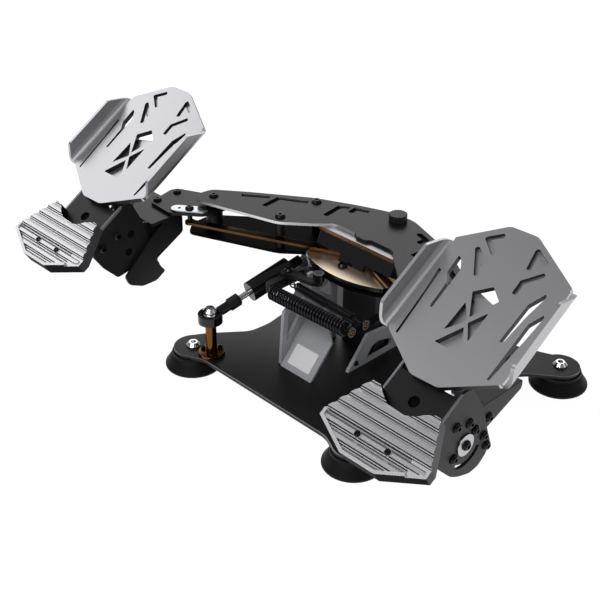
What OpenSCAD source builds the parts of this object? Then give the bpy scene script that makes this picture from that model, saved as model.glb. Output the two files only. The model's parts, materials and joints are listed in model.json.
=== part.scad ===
// Rudder pedals for a flight simulator: a base plate on suction feet, a turning arm that carries
// one pedal carriage at each end, toe brakes, tie rods, a damper and centring springs.

/* [Layout] */
// Distance between the middles of the two pedals
pedal_spacing = 420; // [410:1:440]
// Height of the middle of a pedal plate above the floor
pedal_z = 188.4; // [186:0.2:194]
// Distance of the middle of a pedal plate behind the front feet
pedal_y = 11.7; // [8:0.2:14]
// Tilt of a pedal plate from level, in degrees
pedal_tilt = 32.1; // [31:0.1:34]

/* [Base] */
// Radius of a foot at the floor
foot_r = 28.3; // [26:0.1:30]
// Radius of a foot's neck under the base plate
foot_neck_r = 21; // [18:0.1:23]
// Height of a foot
foot_h = 16.9; // [15:0.1:19]
// Thickness of the base plate
base_t = 4; // [3:0.1:5]
// Distance of a front foot from the middle line
front_foot_x = 109.2; // [105:0.2:114]
// Distance of a rear foot from the middle line
rear_foot_x = 162.4; // [156:0.2:170]
// Distance of the rear feet behind the front feet
rear_foot_y = 232.5; // [225:0.5:240]
// Radius of the base plate's lobe over a foot
lobe_r = 19.5; // [16:0.1:21]
// Half width of the base plate at its waist
waist_x = 88; // [84:0.5:96]
// How far the base plate's front edge stands before the front feet
front_edge = 9; // [6:0.5:14]

/* [Tower] */
// Thickness of the tower's side plates
side_t = 3.5; // [2.5:0.1:4]
// Outer face of the left side plate from the middle line
left_side_x = 27.5; // [27:0.1:28.5]
// Inner face of the right side plate from the middle line
right_side_x = 27; // [26:0.1:30]
// Height of the left side plate above the base plate
left_side_h = 86; // [80:0.5:88]
// Height of the right side plate above the base plate
right_side_h = 32; // [28:0.5:40]
// Thickness of the sloping label plate
ramp_t = 3; // [2:0.1:4]
// Right edge of the sloping label plate from the middle line
ramp_x = 17; // [14:0.5:22]
// Gap between the sensor housing and the arm
housing_gap = 8; // [6:0.5:14]
// Wall of the sensor housing
housing_wall = 3; // [2:0.1:4]
// Radius of the upright yaw shaft
shaft_r = 8; // [7:0.1:9]
// Distance of the yaw shaft behind the front feet
yaw_y = 150; // [148:0.5:152]

/* [Arm] */
// Height of the arm's top face above the floor
arm_top_z = 138.5; // [138:0.1:140]
// Thickness of the arm's two plates
arm_t = 3; // [2.5:0.1:3.5]
// Height of the lower plate's top face above the floor
arm_low_z = 105; // [104:0.1:105.3]
// Size of the square field in which half of the arm is drawn
arm_field = 200; // [196:0.5:204]
// Thickness of the upper gold plate
gold_t = 4.2; // [3:0.1:5]
// Thickness of the lower gold plate
cam_t = 4.5; // [3:0.1:5]
// Radius of the lower gold plate's front edge
cam_r = 98; // [97:0.2:99]
// Half width of the gold plates
gold_x = 50; // [47:0.5:52]
// Radius of the thumb knob
knob_r = 9; // [7:0.1:11]
// Height of the thumb knob
knob_h = 7; // [6:0.1:9]

/* [Carriages] */
// Distance of a carriage's pivot from its inboard plate
pivot_inset = 12.2; // [11:0.1:14]
// Distance of a carriage's pivot behind the front feet
carriage_y = 78.3; // [76:0.2:80]
// Height of a link plate's top face above the floor
link_z = 130; // [129.6:0.1:130.6]
// Thickness of a link plate
link_t = 3; // [2.5:0.1:3.5]
// Thickness of the carriage's folded sheet
sheet_t = 3; // [2.5:0.1:3.2]
// Radius of the carriage's hub
hub_r = 8.5; // [7:0.1:10]
// Width of a tie rod
rod_w = 8; // [6:0.1:8.5]
// Thickness of a tie rod
rod_t = 3; // [2:0.1:3.2]

/* [Pedals] */
// Size of the square field in which a pedal plate is drawn
plate_field = 100; // [97:0.5:102]
// Thickness of a pedal plate
plate_t = 5; // [4:0.1:5.5]
// Thickness of a pedal plate's raised rims
fold_t = 3; // [2:0.1:3.5]
// Height of a pedal plate's folded sides
fold_h = 15.4; // [12:0.1:18]
// Inner radius of the fold at a pedal plate's sides
fold_r = 6; // [4:0.1:7]
// Width of a pedal bracket
bracket_w = 61; // [60.6:0.1:62]
// Depth of a pedal bracket's web below the face of the pedal plate
bracket_drop = 9; // [8.5:0.1:10]
// Size of the square field in which a bracket's cheek is drawn
cheek_field = 100; // [99:0.2:101]
// Radius of the silver washer on a bracket's pivot
washer_r = 9.5; // [9:0.1:9.6]
// Height of a heel rest's ribs above the face of the pedal plate
heel_top = 3.8; // [3:0.1:5]
// Height of the ribs on a heel rest
rib_h = 2.6; // [1.5:0.1:3]
// Wall of a heel rest
heel_wall = 3.5; // [2.5:0.1:4]

/* [Damper and springs] */
// Distance of the damper's post from the middle line
post_x = 85.8; // [84:0.2:88]
// Distance of the damper's post behind the front feet
post_y = 4; // [2:0.2:6]
// Height of the middle of the damper's rod end
eye_z = 62; // [60:0.2:64]
// Radius of the damper's rod end
eye_r = 12; // [10:0.1:13]
// Length from the rod end to the damper's tail
damper_l = 109.4; // [106:0.2:111]
// Rise of the damper, in degrees
damper_rise = 15.9; // [15:0.1:17]
// Turn of the damper away from straight ahead, in degrees
damper_turn = 8.6; // [8:0.1:9.2]
// Radius of the damper's cylinder
cylinder_r = 9.5; // [8:0.1:10]
// Outer radius of the main spring
main_spring_r = 7.4; // [6:0.1:7.6]
// Wire of the main spring
main_wire = 2.7; // [1.8:0.1:2.9]
// Turns of the main spring
main_turns = 21; // [18:1:23]
// Outer radius of the thin spring
thin_spring_r = 4.3; // [3.4:0.1:4.5]
// Wire of the thin spring
thin_wire = 1.4; // [1:0.1:1.6]
// Turns of the thin spring
thin_turns = 29; // [22:1:30]
// Turns of a toe brake's return spring
brake_turns = 6; // [4:1:6]

/* [Hidden] */
$fn = 48;

black = [0.09, 0.09, 0.10];
rubber = [0.05, 0.05, 0.05];
grey = [0.62, 0.62, 0.64];
silver = [0.80, 0.80, 0.81];
gold = [0.80, 0.66, 0.45];
bronze = [0.45, 0.32, 0.16];
brass = [0.75, 0.58, 0.28];
chrome = [0.85, 0.85, 0.87];
green = [0.10, 0.30, 0.16];

// Clearances: a turning fit, a seat between pieces that move apart, and the overrun of a cut
fit = 0.05;
gap = 0.35;
cut = 1;
// Length that every outline's corners are cut back to round them, where no other is given
ease = 3;

// Screws: a large and a small size, with head radius, head height, shank radius and socket
m8_head_r = 7;
m8_head_h = 4.4;
m8_r = 4;
m5_head_r = 4.4;
m5_head_h = 2.8;
m5_r = 2.5;
m3_head_r = 2.8;
m3_head_h = 1.6;
m3_r = 1.5;
socket_share = 0.42;
bore_r = m5_r + fit;

base_top = foot_h + base_t;

function unit(v) = v / norm(v);
function flat(p) = [p[0], p[1]];

// One corner b of an outline, rounded by a quadratic curve that starts and ends at a distance of r
function corner(a, b, c, r, steps = 4) =
    let(reach = min(r, norm(a - b) / 2, norm(c - b) / 2),
        p = b + unit(a - b) * reach, q = b + unit(c - b) * reach)
    [for (i = [0:steps]) let(t = i / steps) (1 - t) * (1 - t) * p + 2 * t * (1 - t) * b + t * t * q];

// An outline with all of its corners rounded
function soft(pts, r = ease) =
    let(n = len(pts))
    [for (i = [0:n - 1]) each corner(pts[(i + n - 1) % n], pts[i], pts[(i + 1) % n], r)];

// A table of shares, brought to the size of its field and moved
function drawn(shares, field, from = [0, 0]) = [for (p = shares) from + p * field];

// A half outline and its mirror image, which share the middle line
function both(pts) = concat(pts, [for (i = [len(pts) - 1:-1:0]) if (pts[i][0] > 0) [-pts[i][0], pts[i][1]]]);

// A strip of width w along a line of points, mitred at its bends
function turn(p, i) =
    let(n = len(p) - 1, a = unit(p[min(i + 1, n)] - p[min(i, n - 1)]),
        b = unit(p[max(i, 1)] - p[max(i - 1, 0)]), na = [-a[1], a[0]], nb = [-b[1], b[0]])
    (na + nb) / (1 + na * nb);
function strip(p, w) =
    let(n = len(p) - 1)
    concat([for (i = [0:n]) p[i] + turn(p, i) * w / 2], [for (i = [n:-1:0]) p[i] - turn(p, i) * w / 2]);

// The model's origin lies in the middle of its floor area
heel_tip_share = 1.37;
heel_field = 100;
heel_tip_v = -heel_tip_share * heel_field;
front_y = pedal_y + heel_tip_v * cos(pedal_tilt) - heel_top * sin(pedal_tilt);
frame_y = (front_y + rear_foot_y + foot_r) / 2;
module in_frame() { translate([0, -frame_y, 0]) children(); }

// The right half as drawn, or its mirror image on the left
module on_side(side) {
    if (side < 0) in_frame() mirror([1, 0, 0]) children();
    else in_frame() children();
}

// A pedal's own frame: across, up along the plate, and out of its face
module at_pedal() { translate([pedal_spacing / 2, pedal_y, pedal_z]) rotate([pedal_tilt, 0, 0]) children(); }

// Height and distance of a point of the pedal's own frame
function in_room(p) = [pedal_y + p[0] * cos(pedal_tilt) - p[1] * sin(pedal_tilt),
    pedal_z + p[0] * sin(pedal_tilt) + p[1] * cos(pedal_tilt)];

module plate(pts, h, z = 0) { translate([0, 0, z]) linear_extrude(height = h) polygon(pts); }

// A plate whose outline is drawn across the machine, from the given distance to the side
module upright(pts, x, t) { translate([x, 0, 0]) rotate([90, 0,
    90]) linear_extrude(height = t) polygon(pts); }

module at(p, z = 0) { translate([p[0], p[1], z]) children(); }

// A button head screw that stands with its head's foot at zero
module screw(head_r, head_h, shank_r, shank_l) {
    rim = head_h * 0.35;
    socket = head_r * socket_share;
    difference() {
        union() {
            cylinder(r = head_r, h = rim);
            translate([0, 0, rim]) cylinder(r1 = head_r, r2 = head_r * 0.62, h = head_h - rim);
        }
        translate([0, 0, head_h * 0.4]) cylinder(r = socket, h = head_h, $fn = 6);
    }
    translate([0, 0, -shank_l]) cylinder(r = shank_r, h = shank_l);
}
module m8(l) { screw(m8_head_r, m8_head_h, m8_r, l); }
module m5(l) { screw(m5_head_r, m5_head_h, m5_r, l); }
module m3(l) { screw(m3_head_r, m3_head_h, m3_r, l); }

// A drilled hole that a screw passes with clearance
module hole(r, l) { translate([0, 0, -cut]) cylinder(r = r + fit, h = l + 2 * cut); }

// Base plate
feet_at = [[front_foot_x, 0], [-front_foot_x, 0], [rear_foot_x, rear_foot_y], [-rear_foot_x, rear_foot_y]];
base_half = [[0, -front_edge], [front_foot_x - lobe_r * 1.3, -front_edge],
    [front_foot_x - lobe_r * 0.55, -lobe_r * 0.85], [front_foot_x + lobe_r * 0.6, -lobe_r * 0.8],
    [front_foot_x + lobe_r * 1.02, lobe_r * 0.2], [front_foot_x + lobe_r * 0.45, lobe_r * 1.2],
    [waist_x + lobe_r * 0.1, lobe_r * 3], [waist_x, lobe_r * 4.2], [waist_x + lobe_r * 0.2, lobe_r * 5.4],
    [rear_foot_x - lobe_r * 0.74, rear_foot_y - lobe_r * 1.77],
    [rear_foot_x + lobe_r * 0.97, rear_foot_y - lobe_r * 0.5],
    [rear_foot_x + lobe_r * 0.9, rear_foot_y + lobe_r * 0.4], [rear_foot_x, rear_foot_y + lobe_r],
    [rear_foot_x - lobe_r * 0.9, rear_foot_y + lobe_r * 0.5],
    [waist_x, rear_foot_y - lobe_r * 0.6], [0, rear_foot_y - lobe_r * 0.6]];
module base_plate() {
    color(black) in_frame() difference() {
        union() {
            plate(soft(both(base_half), lobe_r * 0.35), base_t, foot_h);
            for (p = feet_at) at(p, foot_h) cylinder(r = lobe_r, h = base_t);
        }
        for (p = feet_at) at(p, foot_h) hole(m8_r, base_t);
        at([0, yaw_y], foot_h) hole(shaft_foot_r, base_t);
        at([-post_x, post_y], foot_h) hole(m8_r, base_t);
    }
}

// Feet
foot_rim = 3;
screw_depth = 12;
module feet() {
    color(rubber) in_frame() for (p = feet_at) at(p) difference() {
        rotate_extrude() polygon([[0, 0], [foot_r - foot_rim / 3, 0], [foot_r, foot_rim / 3], [foot_r,
            foot_rim],
            [foot_r - foot_rim / 2, foot_rim * 1.6], [foot_neck_r + foot_rim / 2, foot_h * 0.7],
            [foot_neck_r, foot_h * 0.78], [foot_neck_r, foot_h], [0, foot_h]]);
        translate([0, 0, foot_h - screw_depth]) cylinder(r = m8_r + fit, h = screw_depth + cut);
    }
}
module foot_screws() {
    color(chrome) in_frame() for (p = feet_at) at(p, base_top) m8(base_t + screw_depth - cut);
}

// Tower: the left side plate is a truss seen from the right, the right one is low
truss_field = 100;
truss_shares = [[0.385, 0], [0.43, 0.66], [0.49, 0.70], [0.66, 0.70], [0.80, 0.77], [0.755, 1],
    [0.83, 1], [0.84, 0.93], [1.15, 0.93], [1.15, 0]];
truss_low_shares = [[0.56, 0.07], [1.04, 0.07], [1.04, 0.44], [0.86, 0.50]];
truss_mid_shares = [[0.47, 0.26], [0.49, 0.62], [0.585, 0.62], [0.63, 0.56], [0.62, 0.52]];
truss_top_shares = [[1.05, 0.78], [0.89, 0.74], [1.07, 0.57]];
function truss(shares, x) = [for (p = shares) [p[0] * truss_field, base_top + p[1] * left_side_h]];
module tower_left_plate() {
    color(grey) in_frame() difference() {
        upright(soft(truss(truss_shares, 0), ease * 0.6), -left_side_x, side_t);
        for (window = [truss_low_shares, truss_mid_shares, truss_top_shares])
            upright(soft(truss(window, 0)), -left_side_x - cut, side_t + 2 * cut);
    }
}
low_side_shares = [[0.74, 0], [1.015, 1], [1.28, 0.92], [1.50, 0.92], [1.50, 0]];
low_window_shares = [[0.99, 0.12], [1.075, 0.50], [1.165, 0.58], [1.36, 0.42], [1.36, 0.12]];
function low_side(shares) = [for (p = shares) [p[0] * truss_field, base_top + p[1] * right_side_h]];
module tower_right_plate() {
    color(grey) in_frame() difference() {
        upright(soft(low_side(low_side_shares), ease * 0.6), right_side_x + housing_x, side_t);
        upright(soft(low_side(low_window_shares)), right_side_x + housing_x - cut, side_t + 2 * cut);
        for (y = tower_screw_ys) translate([right_side_x + housing_x, y, base_top + right_side_h / 5])
            rotate([0, 90, 0]) hole(m3_r, side_t);
    }
}

// Label plate: a sloping sheet with a foot, and its bare sticker
ramp_foot_y = 37.5;
ramp_rise = 48.5;
ramp_l = 53;
label_l = 21;
label_t = 0.5;
label_edge = 6;
module on_ramp() { translate([0, ramp_foot_y, base_top]) rotate([ramp_rise, 0, 0]) children(); }
ramp_w = left_side_x - side_t + ramp_x;
ramp_corner = 10;
module label_ramp() {
    color(grey) in_frame() intersection() {
        on_ramp() plate([[ramp_x - ramp_w, -ramp_corner], [ramp_x, -ramp_corner], [ramp_x,
            ramp_l - ramp_corner],
            [ramp_x - ramp_corner, ramp_l], [ramp_x - ramp_w, ramp_l]], ramp_t, -ramp_t);
        translate([-left_side_x, 0, base_top]) cube([2 * left_side_x, truss_field, left_side_h]);
    }
}
module label() {
    color([0.75, 0.75, 0.76]) in_frame() on_ramp()
        plate(soft([[ramp_x - ramp_w + label_edge, label_edge], [ramp_x - label_edge, label_edge],
            [ramp_x - label_edge, label_edge + label_l], [ramp_x - ramp_w + label_edge,
                label_edge + label_l]],
            label_edge / 4), label_t);
}

// Sensor housing round the foot of the yaw shaft
housing_h = arm_low_z - arm_t - base_top - housing_gap;
housing_x = 0;
housing_left = 20;
housing_right = 24;
housing_front = 118;
housing_rear = 190;
shaft_foot_r = 11;
socket_w = 9.4;
socket_h = 3.6;
board_z = 30;
board_t = 1.6;
housing_room = 0.6;
module housing() {
    color(black) in_frame() difference() {
        translate([-housing_left, housing_front, base_top])
            cube([housing_left + housing_right, housing_rear - housing_front, housing_h]);
        translate([-housing_left + housing_wall, housing_front + housing_wall, base_top - cut])
            cube([housing_left + housing_right - 2 * housing_wall,
                housing_rear - housing_front - 2 * housing_wall, housing_h - housing_wall + cut]);
        at([0, yaw_y], base_top) cylinder(r = shaft_r + housing_room, h = housing_h + cut);
        translate([-socket_w / 2 - gap, housing_rear - housing_wall - cut, board_z + board_t - gap])
            cube([socket_w + 2 * gap, housing_wall + 2 * cut, socket_h + 2 * gap]);
    }
}
board_w = 30;
board_l = 22;
board_foot = 3;
module circuit_board() {
    color(green) in_frame() {
        translate([-board_w / 2, housing_rear - housing_wall - gap - board_l, board_z])
            cube([board_w, board_l, board_t]);
        for (x = [-board_w / 2, board_w / 2 - board_foot])
            translate([x, housing_rear - housing_wall - gap - board_l, base_top])
                cube([board_foot, board_foot, board_z - base_top]);
        translate([-socket_w / 2, housing_rear - socket_l, board_z + board_t])
            difference() {
                cube([socket_w, socket_l, socket_h]);
                translate([socket_wall, socket_l / 3, socket_wall])
                    cube([socket_w - 2 * socket_wall, socket_l, socket_h - 2 * socket_wall]);
            }
    }
}
socket_l = 12;
socket_wall = 0.5;

// Yaw shaft: the arm turns on it
shaft_top = arm_top_z - arm_t - gap;
shaft_flange = 3;
module yaw_shaft() {
    color(silver) in_frame() at([0, yaw_y]) {
        translate([0, 0, foot_h]) cylinder(r = shaft_foot_r, h = base_t);
        translate([0, 0, base_top]) cylinder(r = shaft_foot_r + shaft_flange, h = shaft_flange);
        translate([0, 0, base_top + shaft_flange]) cylinder(r = shaft_r,
            h = shaft_top - base_top - shaft_flange);
    }
}

lobe_x = pedal_spacing / 2 - bracket_w / 2 - gap - sheet_t;
carriage_x = lobe_x - pivot_inset;

// Tie rods: outer pins on the link plates, inner pins on an anchor that the shaft holds
link_pin = [carriage_x + 6, carriage_y - 26.9];
inner_pin = [link_pin[0] - carriage_x, yaw_y + link_pin[1] - carriage_y];
cam_z = 108.8;
tie_z = 115;
anchor_z = tie_z + rod_t + gap;
anchor_t = 4;
eye_wall = 2.8;
rod_eye_r = m5_r + eye_wall;
module tie_rod(side) {
    color(bronze) on_side(side) difference() {
        union() {
            plate(strip([link_pin, inner_pin], rod_w), rod_t, tie_z);
            at(link_pin, tie_z) cylinder(r = rod_eye_r, h = rod_t);
            at(inner_pin, tie_z) cylinder(r = rod_eye_r, h = rod_t);
        }
        at(link_pin, tie_z) hole(m5_r, rod_t);
        at(inner_pin, tie_z) hole(m5_r, rod_t);
        intersection() {
            at([0, inner_pin[1]], tie_z - cut) translate([-rod_eye_r * 4, -rod_eye_r * 4, 0])
                cube([rod_eye_r * 4 + gap / 2, rod_eye_r * 8, rod_t + 2 * cut]);
        }
    }
}
module link_anchor() {
    color(silver) in_frame() {
        difference() {
            union() {
                at([0, yaw_y], anchor_z) cylinder(r = shaft_r + 4 * fit + anchor_t, h = anchor_t);
                plate([[inner_pin[0] + rod_eye_r, inner_pin[1]], [shaft_r + anchor_t, yaw_y],
                    [-shaft_r - anchor_t, yaw_y], [-inner_pin[0] - rod_eye_r, inner_pin[1]]], anchor_t,
                        anchor_z);
                for (s = [-1, 1]) at([s * inner_pin[0], inner_pin[1]],
                    anchor_z) cylinder(r = rod_eye_r - fit, h = anchor_t);
            }
            at([0, yaw_y], anchor_z) hole(shaft_r, anchor_t);
        }
        for (s = [-1, 1]) at([s * inner_pin[0], inner_pin[1]], tie_z) cylinder(r = m5_r,
            h = anchor_z - tie_z);
    }
}

module tower_screws() {
    color(black) in_frame() {
        for (y = tower_screw_ys)
            translate([right_side_x + housing_x + side_t, y, base_top + right_side_h / 5])
                rotate([0, 90, 0]) m3(side_t);
    }
}
tower_screw_ys = [86, 144];

// Damper post with its bolt, which holds the ball of the rod end
post_r = 5.4;
post_flange_r = 13;
post_flange_t = 3;
ball_h = 13;
ball_r = 8;
post_top = eye_z - ball_h / 2;
module damper_post() {
    color(brass) in_frame() at([-post_x, post_y]) difference() {
        union() {
            translate([0, 0, base_top]) cylinder(r = post_flange_r, h = post_flange_t);
            translate([0, 0, base_top + post_flange_t]) cylinder(r = post_r,
                h = post_top - base_top - post_flange_t);
        }
        translate([0, 0, foot_h]) cylinder(r = m8_r + fit, h = post_top);
    }
}
module post_bolt() {
    color(chrome) in_frame() at([-post_x, post_y]) {
        translate([0, 0, eye_z + ball_h / 2]) m8(eye_z + ball_h / 2 - foot_h);
        difference() {
            intersection() {
                translate([0, 0, eye_z]) sphere(r = ball_r);
                translate([0, 0, eye_z - ball_h / 2]) cylinder(r = ball_r, h = ball_h);
            }
            translate([0, 0, eye_z - ball_h]) cylinder(r = m8_r + fit, h = 2 * ball_h);
        }
    }
}

// The damper's own frame runs along its rod, from the middle of the rod end
module on_damper() {
    in_frame() translate([-post_x, post_y, eye_z]) rotate([0, 0, -damper_turn]) rotate([damper_rise, 0, 0])
        rotate([-90, 0, 0]) children();
}
eye_h = 9;
neck_r = 5;
neck_l = 22;
sleeve_r = 6.5;
sleeve_l = 12;
damper_rod_r = 3;
gland_at = 47;
rod_inside = 26;
module rod_end() {
    color(black) {
        difference() {
            union() {
                in_frame() translate([-post_x, post_y, eye_z - eye_h / 2]) cylinder(r = eye_r, h = eye_h);
                on_damper() translate([0, 0, ball_r + cut]) cylinder(r = neck_r, h = neck_l - ball_r);
                on_damper() translate([0, 0, neck_l]) cylinder(r = sleeve_r, h = sleeve_l, $fn = 6);
            }
            in_frame() translate([-post_x, post_y, eye_z - eye_h]) cylinder(r = ball_r + fit, h = 2 * eye_h);
            on_damper() translate([0, 0, neck_l + sleeve_l / 3]) cylinder(r = damper_rod_r + fit,
                h = sleeve_l);
        }
    }
}
module damper_rod() {
    color(chrome) on_damper() translate([0, 0, neck_l + sleeve_l / 3 + fit])
        cylinder(r = damper_rod_r, h = gland_at + rod_inside - neck_l - sleeve_l / 3);
}
body_drop = 1;
cylinder_l = 48;
tail_r = 5;
module damper_cylinder() {
    color(black) on_damper() difference() {
        union() {
            for (y = [-body_drop, body_drop]) translate([0, y, gland_at]) cylinder(r = cylinder_r,
                h = cylinder_l);
            translate([-cylinder_r, -body_drop, gland_at]) cube([2 * cylinder_r, 2 * body_drop, cylinder_l]);
            translate([0, 0, gland_at + cylinder_l]) cylinder(r = tail_r,
                h = damper_l - gland_at - cylinder_l);
        }
        translate([0, 0, gland_at - cut]) cylinder(r = damper_rod_r + fit, h = rod_inside * 1.6 + cut);
    }
}

// Follower lever beside the tower, with its post, roller and screws
lever_pivot = [-34, 95];
lever_z = 90;
lever_h = 10;
lever_shares = [[-0.505, 0.43], [-0.43, 0.43], [-0.43, 0.87], [-0.30, 0.93],
    [-0.31, 1.0], [-0.38, 1.0], [-0.51, 0.86]];
tongue_shares = [[-0.52, 0.64], [-0.30, 0.67], [-0.14, 0.70], [-0.08, 0.74], [-0.09, 0.80], [-0.16, 0.795],
    [-0.22, 0.75], [-0.52, 0.76]];
lever_field = 100;
tongue_t = 4;
roller_at = [-12, 76.4];
roller_r = 5.5;
roller_h = 8.4;
lever_bolt = [-46, 70];
lever_hub_r = 5.6;
module follower_lever() {
    color(black) in_frame() difference() {
        union() {
            plate(soft(drawn(lever_shares, lever_field)), lever_h, lever_z);
            at(lever_pivot, lever_z) cylinder(r = lever_hub_r, h = lever_h);
            plate(soft(drawn(tongue_shares, lever_field)), tongue_t, lever_z + lever_h);
            at(roller_at, lever_z + lever_h) cylinder(r = m5_r, h = tongue_t + gap + roller_h);
        }
        at(lever_pivot, lever_z) hole(m5_r, lever_h);
        at(lever_bolt, lever_z) hole(m5_r, lever_h + tongue_t);
    }
}
module cam_roller() {
    color(black) in_frame() at(roller_at, lever_z + lever_h + tongue_t + gap) difference() {
        cylinder(r = roller_r, h = roller_h);
        hole(m5_r, roller_h);
    }
}
module lever_screws() {
    color(black) in_frame() at(lever_bolt, lever_z + lever_h + tongue_t) m5(lever_h + tongue_t);
}
lever_post_r = 4;
module lever_post() {
    color(black) in_frame() at(lever_pivot) {
        translate([0, 0, base_top]) cylinder(r = lever_post_r, h = lever_z - gap - base_top);
        translate([0, 0, lever_z - gap]) cylinder(r = m5_r, h = lever_h + 2 * gap);
    }
}

// Spring anchor: a bar from the housing that carries the springs' right ends
anchor_x = 57;
anchor_w = 3;
anchor_low = 90.5;
anchor_h = 6;
anchor_front = 41;
module spring_anchor() {
    color(black) in_frame() difference() {
        union() {
            translate([anchor_x, anchor_front, anchor_low])
                cube([anchor_w, housing_front - anchor_front, anchor_h - gap]);
            translate([housing_right, housing_front, anchor_low])
                cube([anchor_x + anchor_w - housing_right, anchor_w * 3, (anchor_h - gap) / 2]);
        }
        for (p = anchor_pin_at) translate([anchor_x - cut, p, anchor_low + anchor_h * 0.55])
            rotate([0, 90, 0]) cylinder(r = m3_r + fit, h = anchor_w + 2 * cut);
    }
}
main_y = 43;
thin_y = 67;
spring_drift = 3;
anchor_pin_at = [main_y + spring_drift, thin_y - spring_drift];
module anchor_pins() {
    color(brass) in_frame() for (p = anchor_pin_at)
        translate([anchor_x + anchor_w, p, anchor_low + anchor_h * 0.55]) rotate([0, 90, 0]) m3(anchor_w);
}

// Springs: a tube of six sides along a coil whose end turns draw in to its axis
function coil_radius(i, n, r) = r * min(1, i / 8, (n - i) / 8);
function coil(a, b, leg, turns, r) =
    let(x = unit(b - a), y = unit([-x[1], x[0], 0]), z = cross(x, y), n = 8 * turns,
        room = norm(b - a) - 2 * leg)
    concat([a], [for (i = [0:n]) a + x * (leg + room * i / n)
        + coil_radius(i, n, r) * (cos(45 * i) * y + sin(45 * i) * z)], [b]);
function coil_sides(a, b, turns) =
    let(x = unit(b - a), y = unit([-x[1], x[0], 0]), z = cross(x, y), n = 8 * turns)
    concat([y], [for (i = [0:n]) cos(45 * i) * y + sin(45 * i) * z], [y]);
function ring(p, t, u, r) =
    let(n = unit(u - (u * t) * t), b = cross(t, n))
    [for (k = [0:5]) p + r * (cos(60 * k) * n + sin(60 * k) * b)];
function along(pts, i) = unit(pts[min(i + 1, len(pts) - 1)] - pts[max(i - 1, 0)]);
module tube(pts, sides, r) {
    n = len(pts);
    rings = [for (i = [0:n - 1]) each ring(pts[i], along(pts, i), sides[i], r)];
    walls = [for (i = [0:n - 2], k = [0:5]) let(a = 6 * i + k, b = 6 * i + (k + 1) % 6)
        each [[a, b + 6, b], [a, a + 6, b + 6]]];
    ends = [for (k = [1:4]) each [[0, k, k + 1], [6 * n - 6, 6 * n - 6 + k + 1, 6 * n - 6 + k]]];
    polyhedron(points = rings, faces = concat(walls, ends), convexity = 10);
}
function least_gap(pts, wire) = min([for (i = [0:len(pts) - 7],
    j = [i + 6:len(pts) - 1]) norm(pts[i] - pts[j])]) - wire;

spring_z = 93.5;
lever_face = -43;
main_from = [lever_face + gap, main_y, spring_z];
main_to = [anchor_x - gap, main_y + spring_drift, spring_z];
main_path = coil(main_from, main_to, main_wire, main_turns, main_spring_r - main_wire / 2);
thin_leg = 12;
thin_from = [lever_face + gap, thin_y, spring_z];
thin_to = [anchor_x - gap, thin_y - spring_drift, spring_z];
thin_path = coil(thin_from, thin_to, thin_leg, thin_turns, thin_spring_r - thin_wire / 2);
echo(main_spring_gap = least_gap(main_path, main_wire), thin_spring_gap = least_gap(thin_path, thin_wire));
module main_spring() { color(black) in_frame() tube(main_path, coil_sides(main_from, main_to, main_turns),
    main_wire / 2); }
module thin_spring() { color(black) in_frame() tube(thin_path, coil_sides(thin_from, thin_to, thin_turns),
    thin_wire / 2); }

// Arm plates
arm_half_shares = [[0.065, 0.91], [0.2375, 0.845], [0.45, 0.7475], [0.73, 0.555], [0.8865, 0.435],
    [0.897, 0.36], [0.85, 0.30], [0.39, 0.4325], [0.25, 0.55], [0.1875, 0.6175], [0.045, 0.6175], [0.032,
        0.597]];
low_half_shares = [[0.065, 0.93], [0.2375, 0.87], [0.45, 0.785], [0.74, 0.62], [0.93, 0.46],
    [0.925, 0.33], [0.86, 0.253], [0.40, 0.44], [0.30, 0.53]];
slot_a_shares = [[0.729, 0.5035], [0.62, 0.586]];
slot_b_shares = [[0.565, 0.503], [0.575, 0.61], [0.445, 0.685]];
slot_c_shares = [[0.282, 0.648], [0.2965, 0.763], [0.26, 0.7925]];
slot_d_shares = [[0.22, 0.7585], [0.225, 0.805], [0.1625, 0.827]];
arm_slot_w = 4;
carriage_pin = [carriage_x, carriage_y];
rear_post_at = [82.8, 143.5];
front_post_at = [84.5, 95.4];
knob_at = [0, 172];
arm_screw_at = [rear_post_at, front_post_at, [-rear_post_at[0], rear_post_at[1]],
    [-front_post_at[0], front_post_at[1]]];
module arm_top_plate() {
    color(black) in_frame() difference() {
        plate(soft(both(drawn(arm_half_shares, arm_field)), ease * 2), arm_t, arm_top_z - arm_t);
        for (s = [-1, 1], slot = [slot_a_shares, slot_b_shares, slot_c_shares, slot_d_shares])
            scale([s, 1, 1]) plate(soft(strip(drawn(slot, arm_field), arm_slot_w), arm_slot_w / 3),
                arm_t + 2 * cut,
                arm_top_z - arm_t - cut);
        for (s = [-1, 1]) at([s * carriage_pin[0], carriage_pin[1]], arm_top_z - arm_t) hole(m8_r, arm_t);
        for (p = arm_screw_at) at(p, arm_top_z - arm_t) hole(m5_r, arm_t);
        at(knob_at, arm_top_z - arm_t) hole(m5_r, arm_t);
    }
}
arc_y = 181;
gold_back = 118;
function arc_edge(r, x, steps = 16) =
    [for (i = [-steps:steps]) let(u = x * i / steps) [u, arc_y - sqrt(r * r - u * u)]];
bearing_r = 14;
module arm_bottom_plate() {
    color(black) in_frame() difference() {
        union() {
            plate(soft(both(drawn(low_half_shares, arm_field)), ease * 2), arm_t, arm_low_z - arm_t);
            plate(concat(arc_edge(cam_r - ease, gold_x - ease), [[gold_x + ease, gold_back],
                [-gold_x - ease, gold_back]]),
                arm_t, arm_low_z - arm_t);
        }
        at([0, yaw_y], arm_low_z - arm_t) hole(bearing_r, arm_t);
        for (s = [-1, 1]) at([s * carriage_pin[0], carriage_pin[1]], arm_low_z - arm_t) hole(m8_r, arm_t);
    }
}
gold_front = 114.5;
gold_low_z = arm_top_z - arm_t - gold_t;
gold_half = [[gold_x * 0.26, knob_at[1] + knob_r * 0.75], [gold_x * 0.8, knob_at[1] - knob_r * 0.4],
    [gold_x, yaw_y], [gold_x, gold_front]];
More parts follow.
